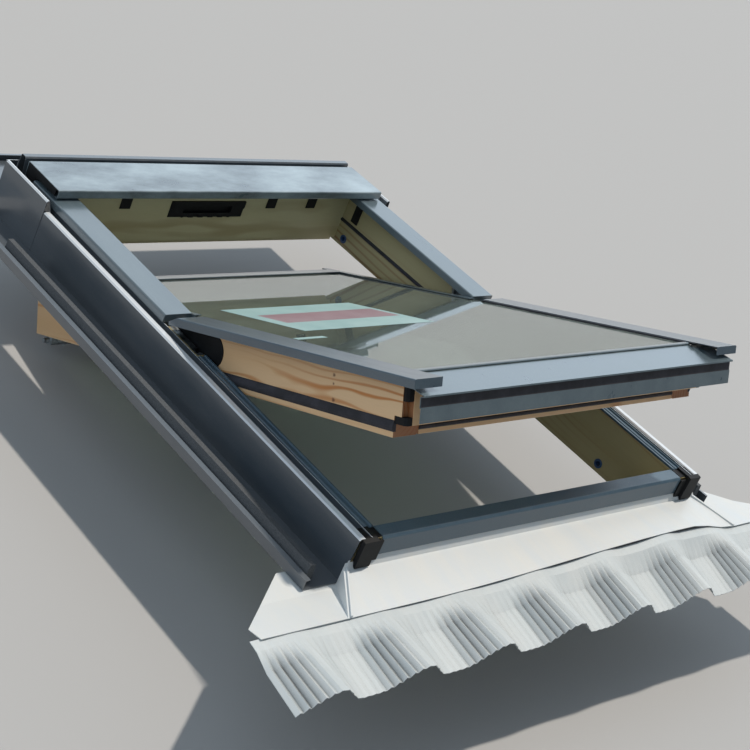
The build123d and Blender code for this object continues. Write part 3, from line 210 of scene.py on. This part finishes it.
# Coil-coated aluminium, a satin polyester lacquer on rolled sheet: smooth, with a faint orange
# peel, and a film of dust that rain has run down the slope.
def coatedAluminium(name, look, turned=False):
    material, tree, shader = startMaterial(name, {
        "IOR": 1.5, "Metallic": look.get("metal", 0.0), "Coat Weight": look["coat"],
        "Coat Roughness": lacquer["coatRough"]})
    point = objectPoint(tree, turned)
    dustPoint = addNode(tree, "Mapping", {"Scale": look.get("streak", lacquer["dustStretch"])},
                        {"Vector": point}).outputs[0]
    dust = addNode(tree, "TexNoise", {"Scale": look.get("cloud", lacquer["dustScale"]),
                                      "Detail": 5.0, "Roughness": 0.62}, {"Vector": dustPoint})
    cover = addNode(tree, "ValToRGB", None, {"Fac": dust.outputs["Fac"]},
                    [(lacquer["dustEdge"][0], look["base"]),
                     (lacquer["dustEdge"][1], look["dusty"])])
    speck = addNode(tree, "TexNoise", {"Scale": lacquer["speckScale"], "Detail": 2.0},
                    {"Vector": point})
    specks = addNode(tree, "ValToRGB", None, {"Fac": speck.outputs["Fac"]},
                     [(lacquer["speckEdge"][0], 0.0), (lacquer["speckEdge"][1], 1.0)])
    faint = addNode(tree, "Math", {1: lacquer["speckShare"]}, {0: specks.outputs["Color"]},
                    operation="MULTIPLY")
    colour = addNode(tree, "MixRGB", {"Color2": linear(look["speck"])},
                     {"Fac": faint.outputs[0], "Color1": cover.outputs["Color"]}).outputs["Color"]
    if "foldShade" in look:
        # Painted shade: ambient occlusion darkens the bottom of every narrow fold, within a few
        # millimetres.
        fold = addNode(tree, "AmbientOcclusion", {"Distance": look["foldDepth"]}, samples=6,
                       only_local=True)
        deep = addNode(tree, "ValToRGB", None, {"Fac": fold.outputs["AO"]},
                       [(lacquer["foldEdge"][0], 1.0), (lacquer["foldEdge"][1], 0.0)])
        colour = addNode(tree, "MixRGB", {"Color2": linear(look["foldShade"])},
                         {"Fac": deep.outputs["Color"], "Color1": colour}).outputs["Color"]
    if "crown" in look:
        # Painted highlight: where the fold stands above a set height and faces up, it is painted
        # pale as if lit by the sun.
        height = addNode(tree, "SeparateXYZ", None, {"Vector": point}).outputs["Z"]
        above = addNode(tree, "Math", {1: look["crownAbove"]}, {0: height},
                        operation="GREATER_THAN").outputs[0]
        facing = objectPoint(tree, source="Normal")
        upward = addNode(tree, "SeparateXYZ", None, {"Vector": facing}).outputs["Z"]
        flatTop = addNode(tree, "MapRange", {"From Min": lacquer["flatEdge"][0],
                                             "From Max": lacquer["flatEdge"][1]},
                          {"Value": upward}).outputs[0]
        litRim = addNode(tree, "Math", None, {0: above, 1: flatTop}, operation="MULTIPLY").outputs[0]
        colour = addNode(tree, "MixRGB", {"Color2": linear(look["crown"])},
                         {"Fac": litRim, "Color1": colour}).outputs["Color"]
    tree.links.new(colour, shader.inputs["Base Color"])
    rough = addNode(tree, "MapRange", {"From Min": lacquer["dullEdge"][0],
                                       "From Max": lacquer["dullEdge"][1], "To Min": look["rough"],
                                       "To Max": look["rough"] + lacquer["dulling"]},
                    {"Value": dust.outputs["Fac"]})
    tree.links.new(rough.outputs[0], shader.inputs["Roughness"])
    peel = addNode(tree, "TexNoise", {"Scale": lacquer["peelScale"], "Detail": 1.0},
                   {"Vector": point})
    warp = addNode(tree, "TexNoise", {"Scale": lacquer["warpScale"], "Detail": 1.0},
                   {"Vector": point})
    both = addNode(tree, "MixRGB", {"Fac": lacquer["warpShare"]},
                   {"Color1": peel.outputs["Fac"], "Color2": warp.outputs["Fac"]})
    relief = addNode(tree, "Bump", {"Strength": lacquer["relief"][0],
                                    "Distance": lacquer["relief"][1]},
                     {"Height": both.outputs["Color"]})
    tree.links.new(relief.outputs[0], shader.inputs["Normal"])
    return material


coverLook = {"base": "#4c5a61", "dusty": "#58666c", "speck": "#c9c6bd", "rough": 0.26, "coat": 1.0}
hoodLook = dict(coverLook, base="#4a565c", dusty="#93a3aa", cloud=14.0, streak=(0.45, 1, 1))
# Painted shade: the sash covers get a darker copy of the cover lacquer, standing in for the shade
# on them.
shadedSashCoverLook = dict(coverLook, base="#344552", dusty="#40505a")
# Painted shade: the lower profiles and sill cover get a darker, duller copy of the cover lacquer,
# standing in for the shade on them.
shadedLowerLook = dict(coverLook, base="#3d5362", dusty="#485c69", coat=0.2, rough=0.36)
flashingLook = {"base": "#414950", "dusty": "#4e5358", "speck": "#a99c8e", "rough": 0.28,
                "coat": 1.0}
# Painted highlight: the side and upper flashings get a pale rim colour on their high, upward faces.
sideLook = dict(flashingLook, crown="#d3d8dc", crownAbove=0.0805)
apronLook = {"base": "#cbd0d2", "dusty": "#d2d3d0", "speck": "#a79d92", "rough": 0.45, "coat": 0.1}
# The skirt's fold shade colour is painted shade, laid into the bottom of its narrow folds.
skirtLook = {"base": "#b9c0c2", "dusty": "#c4c8c8", "speck": "#9f978c", "rough": 0.55, "coat": 0.0,
             "metal": 0.05, "foldShade": "#202426", "foldDepth": 0.014}


# Hot-dip galvanised steel: a bright skin of zinc crystals, each a shade and gloss of its own.
def galvanisedSteel(name, dark, light, crystalMm):
    material, tree, shader = startMaterial(name, {"Metallic": 1.0})
    point = objectPoint(tree)
    crystal = addNode(tree, "TexVoronoi", {"Scale": 1000.0 / crystalMm}, {"Vector": point})
    shade = addNode(tree, "SeparateColor", None, {"Color": crystal.outputs["Color"]})
    tone = addNode(tree, "ValToRGB", None, {"Fac": shade.outputs[0]}, [(0.0, dark), (1.0, light)])
    tree.links.new(tone.outputs["Color"], shader.inputs["Base Color"])
    rough = addNode(tree, "MapRange", {"To Min": 0.3, "To Max": 0.5}, {"Value": shade.outputs[1]})
    tree.links.new(rough.outputs[0], shader.inputs["Roughness"])
    dimple = addNode(tree, "TexNoise", {"Scale": 500.0, "Detail": 2.0}, {"Vector": point})
    relief = addNode(tree, "Bump", {"Strength": 0.15, "Distance": 0.0004},
                     {"Height": dimple.outputs["Fac"]})
    tree.links.new(relief.outputs[0], shader.inputs["Normal"])
    return material


# Injection-moulded polyamide and acetal: an even colour with a spark-eroded grain of about half a
# millimetre.
def mouldedPlastic(name, base, worn, rough, shine=0.5):
    material, tree, shader = startMaterial(name, {"IOR": 1.53, "Specular IOR Level": shine})
    point = objectPoint(tree)
    scuff = addNode(tree, "TexNoise", {"Scale": 60.0, "Detail": 6.0, "Roughness": 0.7},
                    {"Vector": point})
    tone = addNode(tree, "ValToRGB", None, {"Fac": scuff.outputs["Fac"]},
                   [(0.4, base), (0.75, worn)])
    tree.links.new(tone.outputs["Color"], shader.inputs["Base Color"])
    dull = addNode(tree, "MapRange", {"To Min": rough, "To Max": rough + 0.12},
                   {"Value": scuff.outputs["Fac"]})
    tree.links.new(dull.outputs[0], shader.inputs["Roughness"])
    erosion = addNode(tree, "TexNoise", {"Scale": 2000.0, "Detail": 1.0}, {"Vector": point})
    relief = addNode(tree, "Bump", {"Strength": 0.2, "Distance": 0.0002},
                     {"Height": erosion.outputs["Fac"]})
    tree.links.new(relief.outputs[0], shader.inputs["Normal"])
    return material


# Extruded rubber gasket: dull near-black with a bloom of chalk and lengthwise die lines about a
# millimetre apart.
def extrudedRubber(name, base, bloom):
    material, tree, shader = startMaterial(name, {"IOR": 1.5, "Specular IOR Level": 0.3,
                                                  "Sheen Weight": 0.1})
    point = objectPoint(tree)
    litRim = addNode(tree, "TexNoise", {"Scale": 35.0, "Detail": 5.0, "Roughness": 0.65},
                    {"Vector": point})
    tone = addNode(tree, "ValToRGB", None, {"Fac": litRim.outputs["Fac"]},
                   [(0.4, base), (0.75, bloom)])
    tree.links.new(tone.outputs["Color"], shader.inputs["Base Color"])
    dull = addNode(tree, "MapRange", {"To Min": 0.58, "To Max": 0.8},
                   {"Value": litRim.outputs["Fac"]})
    tree.links.new(dull.outputs[0], shader.inputs["Roughness"])
    drawn = addNode(tree, "Mapping", {"Scale": (1, 0.03, 1)}, {"Vector": point}).outputs[0]
    die = addNode(tree, "TexNoise", {"Scale": 1000.0, "Detail": 1.0}, {"Vector": drawn})
    relief = addNode(tree, "Bump", {"Strength": 0.25, "Distance": 0.0003},
                     {"Height": die.outputs["Fac"]})
    tree.links.new(relief.outputs[0], shader.inputs["Normal"])
    return material


# Closed-cell polyethylene foam, its cells about 1 mm across.
def cellularFoam(name, base, deep):
    material, tree, shader = startMaterial(name, {"Roughness": 0.85, "IOR": 1.45})
    point = objectPoint(tree)
    cells = addNode(tree, "TexVoronoi", {"Scale": 900.0}, {"Vector": point})
    tone = addNode(tree, "ValToRGB", None, {"Fac": cells.outputs["Distance"]},
                   [(0.1, deep), (0.6, base)])
    tree.links.new(tone.outputs["Color"], shader.inputs["Base Color"])
    relief = addNode(tree, "Bump", {"Strength": 0.6, "Distance": 0.0006},
                     {"Height": cells.outputs["Distance"]})
    tree.links.new(relief.outputs[0], shader.inputs["Normal"])
    return material


# Anodised aluminium bar, drawn and brushed along its length: a soft metal with fine lines along X.
def brushedAluminium(name, light, dark):
    material, tree, shader = startMaterial(name, {"Metallic": 1.0, "Anisotropic": 0.4})
    point = objectPoint(tree, True)
    strokes = addNode(tree, "Mapping", {"Scale": (0.02, 1, 1)}, {"Vector": point}).outputs[0]
    brush = addNode(tree, "TexNoise", {"Scale": 2200.0, "Detail": 3.0}, {"Vector": strokes})
    tone = addNode(tree, "ValToRGB", None, {"Fac": brush.outputs["Fac"]},
                   [(0.3, dark), (0.7, light)])
    tree.links.new(tone.outputs["Color"], shader.inputs["Base Color"])
    rough = addNode(tree, "MapRange", {"To Min": 0.26, "To Max": 0.42},
                    {"Value": brush.outputs["Fac"]})
    tree.links.new(rough.outputs[0], shader.inputs["Roughness"])
    relief = addNode(tree, "Bump", {"Strength": 0.12, "Distance": 0.0002},
                     {"Height": brush.outputs["Fac"]})
    tree.links.new(relief.outputs[0], shader.inputs["Normal"])
    return material


# Mill-finish spacer between the panes, with dotted rows of breather holes.
def perforatedSpacer(name, hole, metal, pitchMm):
    material, tree, shader = startMaterial(name, {"Metallic": 0.9})
    point = objectPoint(tree, True)
    dots = addNode(tree, "TexVoronoi", {"Scale": 1000.0 / pitchMm, "Randomness": 0.0},
                   {"Vector": point})
    tone = addNode(tree, "ValToRGB", None, {"Fac": dots.outputs["Distance"]},
                   [(0.16, hole), (0.24, metal)])
    tree.links.new(tone.outputs["Color"], shader.inputs["Base Color"])
    rough = addNode(tree, "MapRange", {"To Min": 0.3, "To Max": 0.45},
                    {"Value": dots.outputs["Distance"]})
    tree.links.new(rough.outputs[0], shader.inputs["Roughness"])
    return material


# Float glass with a low-emission coating: clear with a breath of green, and a film of dust that
# dulls it in patches.
def coatedGlass(name, tint, filmed, clear=1.0):
    material, tree, shader = startMaterial(name, {"IOR": 1.52, "Transmission Weight": clear})
    point = objectPoint(tree, True)
    dust = addNode(tree, "TexNoise", {"Scale": 7.0, "Detail": 6.0, "Roughness": 0.7},
                   {"Vector": point})
    tone = addNode(tree, "ValToRGB", None, {"Fac": dust.outputs["Fac"]},
                   [(0.3, tint), (0.75, filmed)])
    tree.links.new(tone.outputs["Color"], shader.inputs["Base Color"])
    haze = addNode(tree, "MapRange", {"From Min": 0.35, "From Max": 0.75, "To Max": 0.05},
                   {"Value": dust.outputs["Fac"]})
    tree.links.new(haze.outputs[0], shader.inputs["Roughness"])
    return material


# Every node of the frame gets its material, in groups that share one.
paint(varnishedPine("varnishedPineStiles", framePine), "frame_left_stile", "frame_right_stile")
paint(varnishedPine("varnishedPineCrossLit", litCrossPine, "x"), "frame_head", "frame_sill")
paint(varnishedPine("varnishedPineSashStiles", sashSidePine, "y", True),
      "sash_left_stile", "sash_right_stile")
paint(varnishedPine("varnishedPineSashRails", sashPine, "x", True),
      "sash_top_rail", "sash_bottom_rail")
paint(coatedAluminium("coilCoatedAluminiumOfHood", hoodLook), "hood")
paint(coatedAluminium("coilCoatedAluminium", coverLook), "upper_cover_left", "upper_cover_right")
paint(coatedAluminium("coilCoatedAluminiumPaintedShade", shadedLowerLook),
      "lower_profile_left", "lower_profile_right", "sill_cover")
paint(coatedAluminium("coilCoatedAluminiumOfRail", coverLook, True),
      "drip_cover", "glazing_bottom_strip", "top_trim", "upper_trims")
paint(coatedAluminium("coilCoatedAluminiumOfSashShaded", shadedSashCoverLook, True),
      "sash_cover_left", "sash_cover_right")
paint(coatedAluminium("coatedHeadFlashing", flashingLook), "head_flashing")
paint(coatedAluminium("coatedSideFlashing", sideLook),
      "side_flashing_left", "side_flashing_right", "upper_flashing_left", "upper_flashing_right")
paint(coatedAluminium("paleCoatedApronSheet", apronLook), "apron_sheet")
paint(coatedAluminium("softPleatedAluminium", skirtLook), "apron_skirt")
paint(galvanisedSteel("galvanisedSteel", "#8e9498", "#c2c8cb", 5.0),
      "barrel_bolt_left", "barrel_bolt_right", "bolt_housings", "bracket_screws",
      "hinge_plate_left", "hinge_plate_right", "latch", "lock_case", "mounting_brackets")
blackPlastic = mouldedPlastic("blackPolyamide", "#0f1012", "#1c1d1f", 0.5, 0.2)
paint(blackPlastic, "corner_blocks", "flap_lugs", "hinge_housing_left", "hinge_housing_right",
      "hood_clips", "hood_ends", "rail_corner_locks", "sash_guide_blocks", "strike_plate")
paint(mouldedPlastic("greyAcetal", "#5d6366", "#6c7174", 0.4), "cover_clips", "sash_cover_clips")
paint(mouldedPlastic("blueBushAcetal", "#27456e", "#35588a", 0.38), "bolt_bushes")
# Painted shadow: seam_seal gets near-black rubber, a dark strip standing in for the shadow of the
# gap under the apron sheet's front edge.
paint(extrudedRubber("gasketRubber", "#25252a", "#3c3b42"),
      "frame_gaskets", "glazing_beads", "glazing_tape", "sash_gaskets", "seam_seal")
paint(cellularFoam("closedCellFoam", "#55585b", "#2c2e30"), "side_foam")
paint(brushedAluminium("brushedAluminium", "#c7cbce", "#9ba1a5"),
      "bar_brackets", "control_bar", "vent_flap")
paint(perforatedSpacer("perforatedSpacer", "#3c4245", "#b4babc", 3.0), "spacer_bars")
paint(coatedGlass("lowEmissionFloatGlass", "#bccdc2", "#b2c2b8"), "inner_pane")
paint(coatedGlass("dustyOuterGlass", "#c3d0c8", "#b4c0b8", 0.86), "outer_pane")
print("materials set on the frame")


# From the closed sash to the open one, turned about the hinge line.
def toSash(mesh):
    hinge = sash["hinge"]
    opened = Matrix.Rotation(-sash["tilt"], 4, "X")
    mesh.transform(Matrix.Translation(hinge) @ opened @ Matrix.Translation(-hinge))


def finishPiece(name, mesh, material, body):
    data = bpy.data.meshes.new(name)
    mesh.to_mesh(data)
    mesh.free()
    piece = bpy.data.objects.new(name, data)
    bpy.context.scene.collection.objects.link(piece)
    piece.data.materials.append(material)
    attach(piece, body)


# The stick-on sheet on the glass, a plain pale film with a bare muted stripe, and a small tag of
# the same film beside it. Both lie a hair above the glass of the closed sash.
film = {"low": (-0.250, -0.117), "high": (0.047, 0.093), "tagLow": (-0.318, -0.176),
        "tagHigh": (-0.256, -0.163), "thick": 0.00025, "glassTop": 0.096, "gap": 0.00004,
        "cells": (12, 9), "order": Vector((1, 10, 100)), "stripeAcross": (-0.225, 0.036),
        "stripeAlong": (-0.047, 0.028)}


def stickOnSheet(low, high):
    sheet = bmesh.new()
    bmesh.ops.create_grid(sheet, x_segments=film["cells"][0], y_segments=film["cells"][1], size=0.5)
    bmesh.ops.scale(sheet, vec=(high[0] - low[0], high[1] - low[1], 1), verts=sheet.verts)
    bmesh.ops.translate(sheet, vec=((low[0] + high[0]) / 2, (low[1] + high[1]) / 2, 0),
                        verts=sheet.verts)
    top = bmesh.ops.extrude_face_region(sheet, geom=sheet.faces[:])
    bmesh.ops.translate(sheet, vec=(0, 0, film["thick"]),
                        verts=[v for v in top["geom"] if isinstance(v, bmesh.types.BMVert)])
    bmesh.ops.translate(sheet, vec=(0, 0, film["glassTop"] + film["gap"]), verts=sheet.verts)
    bmesh.ops.recalc_face_normals(sheet, faces=sheet.faces)
    # The extrusion makes its rim faces in no fixed order, so all are put in order by their place.
    sheet.faces.sort(key=lambda face: face.calc_center_median().dot(film["order"]))
    toSash(sheet)
    return sheet


# Polyester film, calendered smooth and stuck down by hand: half gloss with soft creases, and
# bleached by weather in patches.
def stripedFilm(name):
    material, tree, shader = startMaterial(name, {"IOR": 1.46, "Roughness": 0.34})
    centred = addNode(tree, "Mapping", {"Location": tuple(-sash["hinge"])},
                      {"Vector": addNode(tree, "TexCoord").outputs["Object"]}).outputs[0]
    closed = addNode(tree, "Mapping", {"Rotation": (sash["tilt"], 0, 0),
                                       "Location": tuple(sash["hinge"])},
                     {"Vector": centred}).outputs[0]
    parts = addNode(tree, "SeparateXYZ", None, {"Vector": closed})
    within = []
    for axis, (low, high) in enumerate((film["stripeAcross"], film["stripeAlong"])):
        away = addNode(tree, "Math", {1: (low + high) / 2}, {0: parts.outputs[axis]},
                       operation="SUBTRACT").outputs[0]
        away = addNode(tree, "Math", None, {0: away}, operation="ABSOLUTE").outputs[0]
        within.append(addNode(tree, "Math", {1: (high - low) / 2}, {0: away},
                              operation="LESS_THAN").outputs[0])
    inside = addNode(tree, "Math", None, {0: within[0], 1: within[1]},
                     operation="MULTIPLY").outputs[0]
    worn = addNode(tree, "TexNoise", {"Scale": 18.0, "Detail": 5.0, "Roughness": 0.6},
                   {"Vector": closed})
    pale = addNode(tree, "ValToRGB", None, {"Fac": worn.outputs["Fac"]},
                   [(0.3, "#86a6a3"), (0.7, "#9bb5b1")])
    stripe = addNode(tree, "ValToRGB", None, {"Fac": worn.outputs["Fac"]},
                     [(0.3, "#866266"), (0.7, "#957c7f")])
    colour = addNode(tree, "MixRGB", None, {"Fac": inside, "Color1": pale.outputs["Color"],
                                            "Color2": stripe.outputs["Color"]})
    tree.links.new(colour.outputs["Color"], shader.inputs["Base Color"])
    crease = addNode(tree, "TexNoise", {"Scale": 45.0, "Detail": 3.0}, {"Vector": closed})
    relief = addNode(tree, "Bump", {"Strength": 0.2, "Distance": 0.0005},
                     {"Height": crease.outputs["Fac"]})
    tree.links.new(relief.outputs[0], shader.inputs["Normal"])
    return material


polyester = stripedFilm("stripedPolyesterFilm")
finishPiece("pane_film", stickOnSheet(film["low"], film["high"]), polyester, "sash")
finishPiece("pane_tag", stickOnSheet(film["tagLow"], film["tagHigh"]), polyester, "sash")
print("film on the glass made")

# Black moulded blocks: the end stop at the lower right of the glazing's bottom strip, and three
# tabs on the head's inner face that show under the hood's lip.
endStop = {"low": (0.330, -0.455, 0.0962), "high": (0.337, -0.443, 0.0996), "edge": 0.0008}
headTabs = {"places": (-0.195, 0.157, 0.263), "half": 0.012, "low": (0.4632, 0.052),
            "high": (0.46496, 0.077), "edge": 0.0005}


def mouldedBlocks(spans, edge):
    blocks = bmesh.new()
    for low, high in spans:
        corners = bmesh.ops.create_cube(blocks, size=1.0)["verts"]
        bmesh.ops.scale(blocks, vec=[b - a for a, b in zip(low, high)], verts=corners)
        bmesh.ops.translate(blocks, vec=[(a + b) / 2 for a, b in zip(low, high)], verts=corners)
    bmesh.ops.bevel(blocks, geom=blocks.edges[:], offset=edge, segments=2, affect="EDGES",
                    profile=0.5, material=-1)
    return blocks


stop = mouldedBlocks([(endStop["low"], endStop["high"])], endStop["edge"])
toSash(stop)
finishPiece("strip_end_stop", stop, blackPlastic, "sash")
tabSpans = [((x - headTabs["half"],) + headTabs["low"], (x + headTabs["half"],) + headTabs["high"])
            for x in headTabs["places"]]
finishPiece("head_tabs", mouldedBlocks(tabSpans, headTabs["edge"]), blackPlastic, "frame")
print("end stop and tabs made")

# Planed timber and moulded blocks have softened edges, which catch a thin line of light.
edges = {"timber": 0.0012, "moulding": 0.0006, "weld": 0.00001, "angle": math.radians(40),
         "segments": 2}


def softenEdges(width, *names):
    for name in names:
        weld = nodes[name].modifiers.new("weldTriangles", "WELD")
        weld.merge_threshold = edges["weld"]
        bevel = nodes[name].modifiers.new("softEdges", "BEVEL")
        bevel.width = width
        bevel.segments = edges["segments"]
        bevel.limit_method = "ANGLE"
        bevel.angle_limit = edges["angle"]
        bevel.use_clamp_overlap = True


softenEdges(edges["timber"], "frame_head", "frame_sill", "frame_left_stile", "frame_right_stile",
            "sash_left_stile", "sash_right_stile", "sash_top_rail", "sash_bottom_rail")
softenEdges(edges["moulding"], "corner_blocks", "rail_corner_locks", "sash_guide_blocks")
print("edges softened")

# Floor and light. The sky holds two broad soft panels: one behind the window, which the upward
# faces mirror, and a fill at its left. A panel's reach is the cosine from its rim to its middle.
studio = {"floor": -0.182, "floorSize": 40.0, "floorTone": "#a8a7a6", "floorRough": 0.85,
          "sky": "#c8d7e5", "skyStrength": 0.28, "sun": (0.331, 0.071, 0.941), "sunStrength": 2.8,
          "sunAngle": math.radians(2.0), "sunTone": "#fff6ea",
          "panels": [{"toward": (0.70, 0.50, 0.51), "bright": 1.5, "reach": (0.72, 0.95)},
                     {"toward": (-0.86, 0.10, 0.50), "bright": 1.0, "reach": (0.45, 0.92)}]}
floorMesh = bmesh.new()
bmesh.ops.create_grid(floorMesh, x_segments=1, y_segments=1, size=studio["floorSize"] / 2)
bmesh.ops.translate(floorMesh, vec=(0, 0, studio["floor"]), verts=floorMesh.verts)
floorData = bpy.data.meshes.new("studioFloor")
floorMesh.to_mesh(floorData)
floorMesh.free()
floor = bpy.data.objects.new("studioFloor", floorData)
bpy.context.scene.collection.objects.link(floor)
floorPaint = startMaterial("paintedFloor", {"Roughness": studio["floorRough"],
                                            "Base Color": linear(studio["floorTone"])})[0]
floor.data.materials.append(floorPaint)

world = bpy.data.worlds.new("softStudio")
bpy.context.scene.world = world
world.use_nodes = True
skyTree = world.node_tree
sky = skyTree.nodes["Background"]
sky.inputs["Color"].default_value = linear(studio["sky"])
toward = addNode(skyTree, "TexCoord").outputs["Generated"]
light = None
for panel in studio["panels"]:
    aim = tuple(Vector(panel["toward"]).normalized())
    near = addNode(skyTree, "VectorMath", {1: aim}, {0: toward}, operation="DOT_PRODUCT")
    glow = addNode(skyTree, "MapRange", {"From Min": panel["reach"][0],
                                         "From Max": panel["reach"][1],
                                         "To Max": panel["bright"]},
                   {"Value": near.outputs["Value"]}, interpolation_type="SMOOTHSTEP")
    before = {1: light.outputs[0]} if light else {}
    light = addNode(skyTree, "Math", {1: studio["skyStrength"]}, {0: glow.outputs[0], **before},
                    operation="ADD")
skyTree.links.new(light.outputs[0], sky.inputs["Strength"])

sun = bpy.data.objects.new("keyLight", bpy.data.lights.new("keyLight", "SUN"))
sun.data.energy = studio["sunStrength"]
sun.data.angle = studio["sunAngle"]
sun.data.color = linear(studio["sunTone"])[:3]
sun.rotation_euler = Vector(studio["sun"]).to_track_quat("Z", "Y").to_euler()
bpy.context.scene.collection.objects.link(sun)

# The camera looks up the slope from beyond the lower left corner. Lens and film are in
# millimetres.
shot = {"place": (-2.05646, -1.69217, 1.34791), "right": (0.70863, -0.60682, 0.36001),
        "ahead": (0.70188, 0.55407, -0.44762), "lens": 81.296, "film": 36.0, "far": 100.0}
camera = bpy.data.objects.new("photoCamera", bpy.data.cameras.new("photoCamera"))
camera.data.sensor_width = shot["film"]
camera.data.lens = shot["lens"]
camera.data.clip_end = shot["far"]
back = -Vector(shot["ahead"]).normalized()
right = Vector(shot["right"]).normalized()
axes = Matrix((right, back.cross(right), back)).transposed().to_4x4()
camera.matrix_world = Matrix.Translation(Vector(shot["place"])) @ axes
bpy.context.scene.collection.objects.link(camera)
bpy.context.scene.camera = camera
bpy.context.scene.view_settings.view_transform = "Standard"
print("floor, light and camera set")
